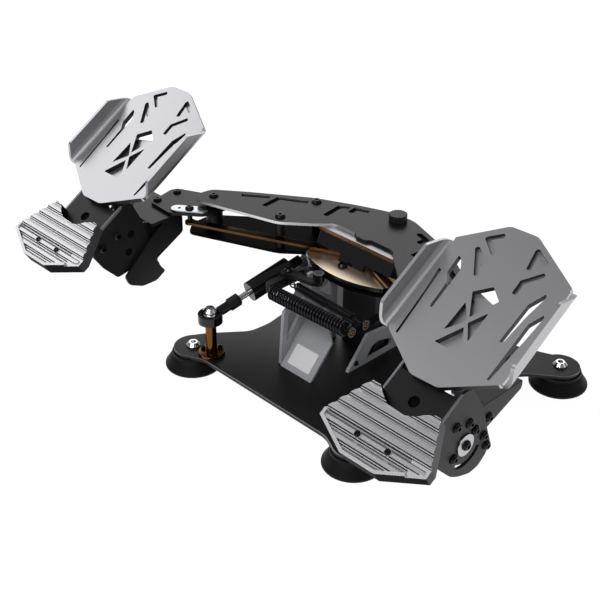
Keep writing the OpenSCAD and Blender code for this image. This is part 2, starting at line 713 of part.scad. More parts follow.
module upper_gold_plate() {
    color(gold) in_frame() difference() {
        plate(both(gold_half), gold_t, gold_low_z);
        at([0, yaw_y], gold_low_z) hole(bearing_r, gold_t);
        at(knob_at, gold_low_z) hole(m5_r, gold_t);
    }
}
cam_screw = [-5, 100.8];
cam_head_r = 4.8;
cam_head_h = 3.6;
module lower_gold_plate() {
    color(gold) in_frame() difference() {
        plate(concat(arc_edge(cam_r, gold_x), [[gold_x, gold_back], [-gold_x, gold_back]]), cam_t, cam_z);
        at(cam_screw, cam_z) hole(m5_r, cam_t);
    }
}
wall_t = 2.5;
wall_foot = [106, cam_z + cam_t];
rod_window = 34;
rod_window_h = 6;
module front_wall() {
    color(black) in_frame() difference() {
        upright([wall_foot, [gold_front, gold_low_z], [gold_front + wall_t, gold_low_z],
            [wall_foot[0] + wall_t, wall_foot[1]]], -gold_x + wall_t, 2 * gold_x - 2 * wall_t);
        for (x = [-gold_x, gold_x - rod_window]) translate([x, wall_foot[0] - cut, wall_foot[1] - cut])
            cube([rod_window, gold_front - wall_foot[0] + cut, rod_window_h + cut]);
    }
}
post_tube_r = 4.4;
cam_post_at = [20, 98];
front_post_z = tie_z + rod_t + 2 * gap;
module arm_spacers() {
    color(black) in_frame() for (s = [-1, 1]) {
        at([s * rear_post_at[0], rear_post_at[1]], arm_low_z) tube_post(arm_top_z - arm_t - arm_low_z);
        at([s * front_post_at[0], front_post_at[1]],
            front_post_z) tube_post(arm_top_z - arm_t - front_post_z);
        at([s * front_post_at[0], front_post_at[1]], arm_low_z) tube_post(tie_z - 2 * gap - arm_low_z);
        at([s * cam_post_at[0], cam_post_at[1]], arm_low_z) tube_post(cam_z - arm_low_z);
    }
}
module tube_post(h) {
    difference() {
        cylinder(r = post_tube_r, h = h);
        hole(m5_r, h);
    }
}
arm_screw_l = 14;
module arm_screws() {
    color(black) in_frame() {
        for (p = arm_screw_at) at(p, arm_top_z) screw(m5_head_r * 1.18, m5_head_h * 1.1, m5_r, arm_screw_l);
        for (s = [-1, 1]) at([s * carriage_pin[0], carriage_pin[1]], arm_top_z)
            screw(m5_head_r * 1.1, m5_head_h, m8_r, arm_top_z - arm_low_z + arm_t);
        at(cam_screw, cam_z + cam_t) screw(cam_head_r, cam_head_h, m5_r, cam_t);
    }
}
bearing_h = 8;
module shaft_bearings() {
    color(silver) in_frame() at([0, yaw_y]) for (z = [arm_low_z - arm_t, arm_top_z - arm_t - bearing_h])
        translate([0, 0, z]) difference() {
            cylinder(r = bearing_r, h = z < arm_low_z ? arm_t : bearing_h);
            hole(shaft_r, bearing_h);
        }
}
module thumb_knob() {
    teeth = 18;
    color(black) in_frame() at(knob_at, arm_top_z + gap) {
        difference() {
            cylinder(r = knob_r, h = knob_h);
            for (i = [0:teeth - 1]) rotate([0, 0, i * 360 / teeth]) translate([knob_r + knob_r / 18, 0, -cut])
                cylinder(r = knob_r / 8, h = knob_h + 2 * cut);
        }
        translate([0, 0, -arm_t - gold_t - gap]) cylinder(r = m5_r, h = arm_t + gold_t + gap);
    }
}

// Carriages
pivot_v = -70.1;
pivot_n = -54.2;
pivot = in_room([pivot_v, pivot_n]);
inner_w = bracket_w / 2 - 3 - gap;
channel_w = inner_w;
web_top = link_z - link_t;
pivot_lug_r = 11.5;
channel_rear = 55;
web_reach = 27.5;
channel_side = [[pivot[0] - pivot_lug_r * 0.8, pivot[1] + pivot_lug_r * 0.6], [pivot[0] - pivot_lug_r,
    pivot[1] - pivot_lug_r * 0.3],
    [pivot[0] - pivot_lug_r * 0.4, pivot[1] - pivot_lug_r], [pivot[0] + pivot_lug_r * 0.6,
        pivot[1] - pivot_lug_r],
    [pivot[0] + pivot_lug_r * 2.5, web_top - pivot_lug_r * 2.2], [channel_rear * 0.62,
        web_top - pivot_lug_r * 1.35],
    [channel_rear, web_top - pivot_lug_r * 0.62], [channel_rear, web_top], [pivot[0] + pivot_lug_r * 2,
        web_top],
    [pivot[0] + pivot_lug_r * 1.3, pivot[1] + pivot_lug_r * 0.75], [pivot[0] + pivot_lug_r * 0.3,
        pivot[1] + pivot_lug_r]];
lobe_field = 100;
lobe_shares = [[-0.08, -0.25], [-0.04, -0.35], [0.115, -0.422], [0.289, -0.424], [0.409, -0.352], [0.357,
    -0.292],
    [0.308, -0.182], [0.656, 0.003]];
lobe_top_shares = [0.656, 0.45];
lobe_outline = concat(drawn(lobe_shares, lobe_field, pivot),
    [for (share = lobe_top_shares) [pivot[0] + share * lobe_field, web_top]]);
module carriage(side) {
    color(black) on_side(side) difference() {
        union() {
            for (x = [-channel_w, channel_w - sheet_t])
                upright(soft(channel_side, ease), pedal_spacing / 2 + x, sheet_t);
            translate([lobe_x, pivot[0] + web_reach, web_top - sheet_t])
                cube([pedal_spacing / 2 + channel_w - lobe_x, channel_rear - pivot[0] - web_reach, sheet_t]);
            upright(soft(lobe_outline, ease), lobe_x, sheet_t);
        }
        translate([lobe_x - cut, pivot[0], pivot[1]]) rotate([0, 90, 0]) cylinder(r = m8_r + fit,
            h = bracket_w * 1.5);
        at(link_screw_at[0], web_top - sheet_t) hole(m5_r, sheet_t);
        translate([pedal_spacing / 2 + channel_w - sheet_t, 0,
            0]) on_cheek(0) at(side_screw_at) hole(m5_r, sheet_t);
    }
}
link_screw_at = [[209.5, 42], [210, 68]];
side_screw_at = [14, 112];
link_outline_half = [[211.5, 34.5], [219.7, 67], [216.6, 74.5], [198, 83], [178, 92], [160, 93], [149, 84],
    [149, 66], [154, 54], [172, 40], [178.7, 32.7]];
hub_low = anchor_z + anchor_t;
module link_plate(side) {
    color(black) on_side(side) difference() {
        union() {
            plate(soft(link_outline_half, ease), link_t, web_top);
            at(carriage_pin, arm_low_z + gap) cylinder(r = hub_r,
                h = arm_top_z - arm_t - 2 * gap - arm_low_z);
        }
        at(carriage_pin, arm_low_z) cylinder(r = m8_r + fit, h = arm_top_z - arm_low_z);
        at(link_pin, web_top) hole(m5_r, link_t);
        for (p = link_screw_at) at(p, web_top) hole(m5_r, link_t);
    }
}
insert_half_l = 12.5;
insert_r = 6.5;
insert_t = 1.6;
insert_turn = -37;
insert_hole = 10.5;
module link_insert(side) {
    color(silver) on_side(side) difference() {
        at(link_pin, link_z) rotate([0, 0, insert_turn]) union() {
            for (s = [-1, 1]) translate([s * insert_half_l, 0, 0]) cylinder(r = insert_r, h = insert_t);
            translate([-insert_half_l, -insert_r, 0]) cube([2 * insert_half_l, 2 * insert_r, insert_t]);
        }
        at(link_pin, link_z) hole(m5_r, insert_t);
        at(link_pin, link_z) rotate([0, 0, insert_turn]) for (s = [-1, 1]) translate([s * insert_hole, 0,
            0]) hole(m3_r, insert_t);
    }
}
module link_screws(side) {
    color(black) on_side(side) {
        for (p = link_screw_at) at(p, link_z) m5(link_t);
        translate([pedal_spacing / 2 + channel_w, 0, 0]) on_cheek(0) at(side_screw_at) m5(sheet_t);
        at(link_pin, link_z + insert_t) m5(link_z + insert_t - tie_z);
    }
}

// Pedal brackets, drawn in the pedal's own frame
brake_pin = [-57.2, -41.4];
web_half = bracket_w / 2;
cheek_shares = [[-0.86, -0.09], [-1.0, -0.25], [-0.995, -0.45], [-0.95, -0.66], [-0.90, -0.75], [-0.80,
    -0.87],
    [-0.70, -0.915], [-0.59, -0.90], [-0.50, -0.85], [-0.46, -0.66], [-0.40, -0.44], [-0.40, -0.155],
        [-0.47, -0.09]];
inner_cheek_shares = [[-0.86, -0.09], [-1.0, -0.25], [-0.995, -0.45], [-0.95, -0.66], [-0.80, -0.72],
    [-0.56, -0.72],
    [-0.46, -0.62], [-0.40, -0.44], [-0.37, -0.155], [-0.44, -0.09]];
web_hole_v = -72.6;
web_hole_r = 4.8;
tongue_end = -131;
web_rear = -54;
arc_slot_r = 19.6;
arc_slot_w = 4.2;
module on_cheek(x) { translate([x, 0, 0]) rotate([90, 0, 90]) children(); }
module pedal_bracket(side) {
    color(black) on_side(side) at_pedal() difference() {
        union() {
            plate([[-web_half, web_rear], [-web_half, -cheek_field * 0.86], [-web_half * 0.8, -cheek_field],
                [-web_half * 0.5, tongue_end], [web_half * 0.5, tongue_end], [web_half * 0.8, -cheek_field],
                [web_half, -cheek_field * 0.86], [web_half, web_rear]], sheet_t, -bracket_drop - sheet_t);
            on_cheek(web_half - sheet_t) linear_extrude(height = sheet_t)
                polygon(soft(drawn(cheek_shares, cheek_field), ease));
            on_cheek(-web_half) linear_extrude(height = sheet_t)
                polygon(soft(drawn(inner_cheek_shares, cheek_field), ease));
        }
        at([0, web_hole_v], -bracket_drop - sheet_t) hole(web_hole_r, sheet_t);
        on_cheek(-web_half - cut) {
            at([pivot_v, pivot_n]) cylinder(r = m8_r + fit, h = bracket_w + 2 * cut);
            at(brake_pin) cylinder(r = m8_r + fit, h = bracket_w + 2 * cut);
        }
        on_cheek(web_half - sheet_t - cut) at([pivot_v, pivot_n]) arc_slot();
        for (p = outer_screw_shares) on_cheek(web_half - sheet_t) at(p * cheek_field) hole(m5_r, sheet_t);
        for (p = inner_screw_shares) on_cheek(-web_half) at(p * cheek_field) hole(m5_r, sheet_t);
        for (s = [-1, 1]) at([s * heel_screw_u, heel_screw_v], -bracket_drop - sheet_t) hole(m3_r, sheet_t);
    }
}
module arc_slot() {
    intersection() {
        difference() {
            cylinder(r = arc_slot_r + arc_slot_w / 2, h = sheet_t + 2 * cut);
            translate([0, 0, -cut]) cylinder(r = arc_slot_r - arc_slot_w / 2, h = sheet_t + 4 * cut);
        }
        linear_extrude(height = sheet_t + 2 * cut) polygon([[0, 0], [-arc_slot_r * 2.4, -arc_slot_r * 1.2],
            [-arc_slot_r * 2, -arc_slot_r * 3], [arc_slot_r * 1.3, -arc_slot_r * 2.4]]);
    }
}
outer_screw_shares = [[-0.684, -0.298], [-0.56, -0.544], [-0.845, -0.539], [-0.523, -0.705], [-0.547,
    -0.824]];
inner_screw_shares = [[-0.684, -0.298], [-0.875, -0.265]];
washer_t = 1.5;
module bracket_screws(side) {
    color(black) on_side(side) at_pedal() {
        for (p = outer_screw_shares) on_cheek(web_half) at(p * cheek_field) m5(sheet_t);
        for (p = inner_screw_shares) translate([-web_half, 0, 0]) mirror([1, 0,
            0]) on_cheek(0) at(p * cheek_field) m5(sheet_t);
        on_cheek(web_half) at(brake_pin) screw(m5_head_r, m5_head_h, m8_r, bracket_w);
        on_cheek(web_half + washer_t) at([pivot_v, pivot_n])
            screw(m5_head_r, m5_head_h, m8_r, bracket_w + washer_t);
        for (s = [-1, 1]) at([s * heel_screw_u, heel_screw_v], heel_boss)
            m3(heel_boss + bracket_drop + sheet_t);
    }
}
module pivot_washers(side) {
    color(silver) on_side(side) at_pedal() difference() {
        on_cheek(web_half) at([pivot_v, pivot_n]) cylinder(r = washer_r, h = washer_t);
        on_cheek(web_half) at([pivot_v, pivot_n]) hole(m8_r, washer_t);
    }
}

// Heel rests
heel_screw_u = 15;
heel_screw_v = -118;
heel_shares = [[-0.33, -0.76], [-0.25, -0.765], [-0.21, -0.80], [-0.105, -0.87], [0.07, -0.88], [0.18, -0.84],
    [0.23, -0.79], [0.29, -0.765], [0.34, -0.77], [0.52, -1.13], [0.52, -1.20], [0.17, -heel_tip_share],
    [-0.17, -heel_tip_share], [-0.52, -1.20], [-0.52, -1.13]];
heel_outline = drawn(heel_shares, heel_field);
heel_skin = 4;
heel_floor = heel_top - rib_h;
heel_boss = heel_top - rib_h * 0.45;
tray_drop = 2;
heel_tray_v = -113;
rib_pitch = 8.8;
tray_ribs = 3;
deck_ribs = 5;
rib_shares = [[0, 0], [0.06, 0.42], [0.15, 0.42], [0.24, 1], [0.60, 0.88], [0.82, 0.36], [0.96, 0.30]];
rim_shares = [[-0.6, -1.13], [0.34, -1.13], [0.38, -1.27], [0.42, -1.4], [-0.6, -1.4]];
module heel_area(inset, low, h) {
    translate([0, 0, low]) linear_extrude(height = h) offset(delta = -inset) polygon(heel_outline);
}
module heel_ribs(from, to, inset, h, low) {
    start = heel_tray_v + rib_pitch * from;
    stop = heel_tray_v + rib_pitch * (to + 1);
    tops = [for (i = [from:to], p = rib_shares) [heel_tray_v + rib_pitch * (i + p[0]), fit + p[1] * h]];
    intersection() {
        heel_area(inset, low, h + 2 * fit);
        translate([-heel_field, 0, low]) rotate([90, 0, 90]) linear_extrude(height = 2 * heel_field)
            polygon(concat([[start, 0]], tops, [[stop, fit], [stop, 0]]));
    }
}
module heel_rest(side) {
    color(silver) in_frame() translate([side < 0 ? -pedal_spacing : 0, 0, 0]) at_pedal() difference() {
        union() {
            difference() {
                heel_area(0, -bracket_drop, bracket_drop + heel_floor);
                heel_area(heel_wall, -bracket_drop - cut, bracket_drop + cut + heel_floor - heel_skin);
                intersection() {
                    heel_area(heel_wall * 0.8, heel_floor - tray_drop, tray_drop + cut);
                    plate(drawn(rim_shares, heel_field), tray_drop + cut, heel_floor - tray_drop);
                }
            }
            intersection() {
                difference() {
                    heel_area(0, heel_floor - fit, rib_h + fit);
                    heel_area(heel_wall * 0.8, heel_floor - 2 * fit, rib_h + 3 * fit);
                }
                plate(drawn(rim_shares, heel_field), rib_h + fit, heel_floor - fit);
            }
            heel_ribs(0, deck_ribs - 1, 0, rib_h, heel_floor - fit);
            heel_ribs(-tray_ribs, -1, heel_wall * 0.8 - fit, rib_h * 0.55 + tray_drop,
                heel_floor - tray_drop - fit);
            for (s = [-1, 1]) at([s * heel_screw_u, heel_screw_v], -bracket_drop)
                cylinder(r = m3_head_r * 1.1, h = bracket_drop + heel_boss);
        }
        for (s = [-1, 1]) at([s * heel_screw_u, heel_screw_v], -bracket_drop) hole(m3_r,
            bracket_drop + heel_top);
    }
}

// Brake levers under the pedal plates
lever_ear_x = 22.5;
ear_t = 3;
ear_r = 8;
deck_t = 3;
deck_shares = [[-0.22, -0.50], [0.22, -0.50], [0.22, 0.10], [0.16, 0.20], [-0.12, 0.28], [-0.22, 0.16]];
ear_shares = [[-0.50, -0.065], [-0.10, -0.065], [-0.16, -0.12], [-0.46, -0.36], [-0.50, -0.44], [-0.64,
    -0.44], [-0.64, -0.36]];
deck_holes = [[-0.14, -0.36], [0.14, -0.36], [-0.10, 0.17], [0.10, 0.17]];
module brake_lever(side) {
    color(silver) on_side(side) at_pedal() difference() {
        union() {
            plate(soft(drawn(deck_shares, plate_field), ease), deck_t, -plate_t - deck_t);
            for (x = [-lever_ear_x, lever_ear_x - ear_t]) on_cheek(x) linear_extrude(height = ear_t)
                polygon(drawn(ear_shares, plate_field));
            for (x = [-lever_ear_x, lever_ear_x - ear_t]) on_cheek(x) at(brake_pin) cylinder(r = ear_r,
                h = ear_t);
        }
        on_cheek(-web_half) at(brake_pin) cylinder(r = m8_r + fit, h = bracket_w);
        for (p = deck_holes) at(p * plate_field, -plate_t - deck_t) hole(m5_r, deck_t);
    }
}
module plate_screws(side) {
    color(black) on_side(side) at_pedal() for (p = deck_holes)
        at(p * plate_field, -plate_t - deck_t) mirror([0, 0, 1]) m5(deck_t + plate_t / 2);
}

// Return springs of the toe brakes: a coil round the brake pin
brake_wire = 2;
brake_coil_r = 5.75;
brake_pitch = 2.8;
function brake_path() =
    let(n = 8 * brake_turns, from = -brake_pitch * brake_turns / 2)
    concat([[from, brake_pin[0] + brake_coil_r, brake_pin[1] - brake_coil_r]],
        [for (i = [0:n]) [from + brake_pitch * i / 8, brake_pin[0] + brake_coil_r * cos(45 * i),
            brake_pin[1] + brake_coil_r * sin(45 * i)]],
        [[-from, brake_pin[0] + brake_coil_r, brake_pin[1] + brake_coil_r]]);
function brake_sides() = let(n = 8 * brake_turns)
    concat([[0, 1, 0]], [for (i = [0:n]) [0, cos(45 * i), sin(45 * i)]], [[0, 1, 0]]);
echo(brake_spring_gap = least_gap(brake_path(), brake_wire));
module brake_spring(side) {
    color(black) on_side(side) at_pedal() tube(brake_path(), brake_sides(), brake_wire / 2);
}

// Pedal plates: the same pattern of slots on both sides
plate_shares = [[-0.545, -0.325], [-0.12, -0.575], [0.14, -0.57], [0.56, -0.32], [0.605, 0.56], [0.06, 0.873],
    [-0.20, 0.868], [-0.59, 0.567]];
fold_u = 0.55;
fold_shares = [[-0.325, -0.10], [0.56, -0.10], [0.56, 0.0], [0.37, 1.0], [-0.22, 1.0], [-0.325, 0.0]];
bent_slots = [[[-0.209, 0.763], [-0.301, 0.694], [-0.188, 0.603]],
    [[-0.193, 0.478], [-0.318, 0.576], [-0.193, 0.384]],
    [[0.244, 0.693], [0.131, 0.756], [0.156, 0.605]], [[0.288, 0.587], [0.182, 0.472], [0.184, 0.376]]];
bent_slot_w = 4.2;
bent_slot_d = 3.4;
cut_outs = [
    [[-0.42, 0.463], [-0.385, 0.445], [-0.33, 0.36], [-0.326, -0.025], [-0.35, -0.024], [-0.36, 0.21],
        [-0.415, 0.297]],
    [[-0.50, 0.30], [-0.47, 0.29], [-0.435, -0.34], [-0.455, -0.335], [-0.475, 0.06]],
    [[0.407, 0.463], [0.336, 0.325], [0.325, -0.036], [0.357, -0.03], [0.383, 0.22], [0.425, 0.44]],
    [[0.496, 0.305], [0.435, 0.185], [0.43, -0.34], [0.45, -0.34], [0.49, 0.04], [0.51, 0.285]],
    [[-0.12, 0.235], [0.005, 0.342], [0.122, 0.25], [-0.005, 0.035]],
    [[-0.112, 0.132], [-0.122, -0.141], [0.0, 0.0]],
    [[-0.124, -0.26], [0.128, -0.26], [0.01, -0.055]],
    [[0.112, 0.133], [0.11, -0.145], [0.015, -0.01]]];
module fold_profile() {
    difference() {
        translate([0, fold_r]) circle(r = fold_r + fold_t);
        translate([0, fold_r]) circle(r = fold_r);
        translate([-plate_field, -plate_field]) square([plate_field, 2 * plate_field]);
        translate([-cut, fold_r]) square([plate_field, plate_field]);
    }
    translate([fold_r, fold_r]) square([fold_t, fold_h - fold_r]);
}
module pedal_fold() {
    intersection() {
        translate([fold_u * plate_field, plate_field, 0]) rotate([90, 0, 0])
            linear_extrude(height = 2 * plate_field) fold_profile();
        on_cheek(0) linear_extrude(height = plate_field)
            polygon(soft([for (p = fold_shares) [p[0] * plate_field,
                p[1] < 0 ? -fold_t : p[1] * fold_h]], ease));
    }
}
module bent_slot(pts) {
    for (i = [1:len(pts) - 1]) let(end = unit(pts[i] - pts[i - 1]) * bent_slot_w / 2)
        plate(soft(strip([pts[i - 1] - end, pts[i] + end], bent_slot_w), bent_slot_w / 2.3),
            bent_slot_d + cut, -bent_slot_d);
}
module pedal_plate(side) {
    color(silver) in_frame() translate([side < 0 ? -pedal_spacing : 0, 0, 0]) at_pedal() difference() {
        union() {
            intersection() {
                plate(soft(drawn(plate_shares, plate_field), ease), plate_t, -plate_t);
                translate([-fold_u * plate_field, -plate_field, -plate_t])
                    cube([2 * fold_u * plate_field, 2 * plate_field, plate_t]);
            }
            pedal_fold();
            mirror([1, 0, 0]) pedal_fold();
        }
        for (slot = bent_slots) bent_slot(drawn(slot, plate_field));
        for (opening = cut_outs) plate(soft(drawn(opening, plate_field), ease / 3), plate_t + 2 * cut,
            -plate_t - cut);
        for (p = deck_holes) at(p * plate_field, -plate_t - cut) cylinder(r = m5_r + fit,
            h = plate_t / 2 + cut);
    }
}

base_plate();
feet();
foot_screws();
tower_left_plate();
tower_right_plate();
label_ramp();
label();
housing();
yaw_shaft();
link_anchor();
tower_screws();
damper_post();
post_bolt();
spring_anchor();
anchor_pins();
circuit_board();
lever_post();
main_spring();
thin_spring();
follower_lever();
cam_roller();
lever_screws();
arm_top_plate();
arm_bottom_plate();
upper_gold_plate();
lower_gold_plate();
front_wall();
arm_spacers();
arm_screws();
shaft_bearings();
thumb_knob();
rod_end();
damper_rod();
damper_cylinder();
carriage(-1);  // left_carriage
carriage(1);  // right_carriage
link_plate(-1);  // left_link_plate
link_plate(1);  // right_link_plate
link_insert(-1);  // left_link_insert
link_insert(1);  // right_link_insert
link_screws(-1);  // left_link_screws
link_screws(1);  // right_link_screws
tie_rod(-1);  // left_tie_rod
tie_rod(1);  // right_tie_rod
pedal_bracket(-1);  // left_pedal_bracket
pedal_bracket(1);  // right_pedal_bracket
bracket_screws(-1);  // left_bracket_screws
bracket_screws(1);  // right_bracket_screws
pivot_washers(-1);  // left_pivot_washers
pivot_washers(1);  // right_pivot_washers
heel_rest(-1);  // left_heel_rest
heel_rest(1);  // right_heel_rest
brake_lever(-1);  // left_brake_lever
brake_lever(1);  // right_brake_lever
brake_spring(-1);  // left_brake_spring
brake_spring(1);  // right_brake_spring
pedal_plate(-1);  // left_pedal_plate
pedal_plate(1);  // right_pedal_plate
plate_screws(-1);  // left_plate_screws
plate_screws(1);  // right_plate_screws
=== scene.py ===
"""Looks of a pair of rudder pedals for a flight simulator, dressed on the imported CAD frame."""

import json
import math

import bpy
from mathutils import Matrix, Vector

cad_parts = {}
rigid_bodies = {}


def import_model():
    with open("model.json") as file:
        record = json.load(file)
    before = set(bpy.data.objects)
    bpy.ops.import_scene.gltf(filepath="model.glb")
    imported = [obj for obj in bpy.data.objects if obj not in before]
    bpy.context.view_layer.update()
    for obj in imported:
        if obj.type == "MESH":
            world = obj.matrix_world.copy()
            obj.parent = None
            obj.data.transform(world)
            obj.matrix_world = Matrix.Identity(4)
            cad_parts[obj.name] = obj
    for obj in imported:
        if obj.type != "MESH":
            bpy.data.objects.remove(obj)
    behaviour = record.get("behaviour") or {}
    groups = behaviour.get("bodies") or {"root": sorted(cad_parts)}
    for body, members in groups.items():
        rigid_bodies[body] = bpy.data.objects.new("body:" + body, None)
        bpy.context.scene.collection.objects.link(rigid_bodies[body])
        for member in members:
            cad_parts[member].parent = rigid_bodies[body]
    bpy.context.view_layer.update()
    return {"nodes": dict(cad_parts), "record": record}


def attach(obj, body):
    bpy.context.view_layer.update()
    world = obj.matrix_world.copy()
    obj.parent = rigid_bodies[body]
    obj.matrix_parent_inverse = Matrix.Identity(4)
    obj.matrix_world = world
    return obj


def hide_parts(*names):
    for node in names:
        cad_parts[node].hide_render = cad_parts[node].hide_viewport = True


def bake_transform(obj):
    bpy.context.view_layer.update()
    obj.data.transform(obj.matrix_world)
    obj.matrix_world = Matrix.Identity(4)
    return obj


MM = 0.001
SIDES = ((-1, "left"), (1, "right"))

# The drawing of the part measures y from another place, and the frame is moved by this much
SHIFT_Y = -77.2

# A pedal plate: the middle of its face, its tilt, its thickness, and half the width of its flat part
PEDAL_AT = (210, 11.7 + SHIFT_Y, 188.4)
PEDAL_TILT = math.radians(32.1)
PEDAL_THICK = 5
PEDAL_FLAT_HALF = 53
# Its brake pin, along and above the plate's face
BRAKE_PIN = (-57.2, -41.4)

# A bracket: half the distance between its cheeks' folds, the height of its web over the pedal's face, and
# the seat of the dark disc of painted shade in its web's hole, across, along and above that face
FOLD_HALF = 30.5
WEB_ABOVE = -9
WEB_HOLE = (0, -72.6, -12.0)

# A heel rest: up to where its cheeks and its skirt carry painted shade, and from where its ribs' risers carry
# painted shade, as heights over the pedal's face
CHEEK_TOP = 1.4
SKIRT_TOP = 0.6
RISER_FOOT = -1.2

# The brass post: its middle, the radius inside which it is no flange, and the circle of the flange's screws
POST_AT = (-85.8, 4 + SHIFT_Y)
POST_NECK_R = 12.5
POST_SCREWS_R = 9.6

# Height of the axes of the two tension springs
SPRING_Z = 93.5

# The arm's slots: the least and the largest size that isn't a screw hole or the outline, how far their
# walls move out, and the thickness of the dull black floor of painted shade that closes them
SLOT_SPAN = (9, 80)
SLOT_WIDEN = 0.9
SLOT_FLOOR = 1.2

# The front edge of the arm's top plate carries a painted highlight where x is less than this
HIGHLIT_EDGE_X = -20

# How far the edges of the pieces of each finish are broken
EDGE_MM = {"satin_black": 0.35, "tower_grey": 0.35, "champagne": 0.4, "pedal_silver": 0.5, "chrome": 0.3,
           "steel": 0.25, "bronze": 0.3, "screw_black": 0.2, "brass": 0.3, "housing_black": 0.6,
           "rubber": 0.5, "gloss_black": 0.4, "label_white": 0.1}
# The base plate's edges are broken wider, to carry their painted highlight
BASE_EDGE_MM = 0.8

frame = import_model()
nodes = frame["nodes"]
record = frame["record"]
body_of_node = {n: b for b, members in record["behaviour"]["bodies"].items() for n in members}
slot_of_node = {s["node"]: s["material_slot"] for s in record["subparts"]}
bpy.ops.object.select_all(action="DESELECT")


# Camera: the photo's view, solved on the feet, the pedals and the arm
def make_camera():
    place = Vector((0.65468, -0.67218, 0.65267))
    forward = Vector((-0.6141, 0.5985, -0.5146))
    roll = math.radians(0.264)
    data = bpy.data.cameras.new("photo_camera")
    data.lens = 69.86
    data.sensor_width = 36
    data.shift_x = -0.0034
    data.shift_y = -0.0025
    camera = bpy.data.objects.new("photo_camera", data)
    turn = forward.to_track_quat("-Z", "Y").to_matrix() @ Matrix.Rotation(roll, 3, "Z")
    camera.matrix_world = Matrix.Translation(place) @ turn.to_4x4()
    bpy.context.scene.collection.objects.link(camera)
    bpy.context.scene.camera = camera


# Materials
def linear(colour):
    """An sRGB colour such as #B4B6B9 as linear red, green, blue and a full alpha."""
    parts = [int(colour[i:i + 2], 16) / 255 for i in (1, 3, 5)]
    return [p / 12.92 if p <= 0.04045 else ((p + 0.055) / 1.055) ** 2.4 for p in parts] + [1]


def add(tree, kind, settings=(), links=()):
    """Adds a node, sets its properties and sockets, and links its sockets from other nodes' outputs."""
    made = tree.nodes.new(kind)
    for name, value in dict(settings).items():
        if isinstance(name, str) and hasattr(made, name):
            setattr(made, name, value)
        else:
            made.inputs[name].default_value = value
    for socket, source in dict(links).items():
        tree.links.new(source, made.inputs[socket])
    return made


def finish_of(name, colour, metallic, roughness, ior=1.5):
    """A new material with a plain shader, and the shader itself."""
    material = bpy.data.materials.new(name)
    material.use_nodes = True
    shader = material.node_tree.nodes["Principled BSDF"]
    shader.inputs["Base Color"].default_value = linear(colour)
    shader.inputs["Metallic"].default_value = metallic
    shader.inputs["Roughness"].default_value = roughness
    if metallic < 1:
        shader.inputs["IOR"].default_value = ior
    material.diffuse_color = linear(colour)
    return material, shader


def grain(material, shader, size_mm, strength, depth_mm=0.05, spread=None):
    """Fine bumps, and a roughness that varies a little with them. Powder coat, paint and moulded faces have
    grains of this size. Those of blasted, milled and cast metal are finer, and drawn coarser to show."""
    tree = material.node_tree
    where = add(tree, "ShaderNodeTexCoord")
    noise = add(tree, "ShaderNodeTexNoise", {"Scale": 1 / (size_mm * MM), "Detail": 2.0},
                {"Vector": where.outputs["Object"]})
    bump = add(tree, "ShaderNodeBump", {"Strength": strength, "Distance": depth_mm * MM},
               {"Height": noise.outputs["Fac"]})
    tree.links.new(bump.outputs["Normal"], shader.inputs["Normal"])
    if spread:
        smooth, rough = spread
        ramp = add(tree, "ShaderNodeMapRange", {"To Min": smooth, "To Max": rough},
                   {"Value": noise.outputs["Fac"]})
        tree.links.new(ramp.outputs["Result"], shader.inputs["Roughness"])


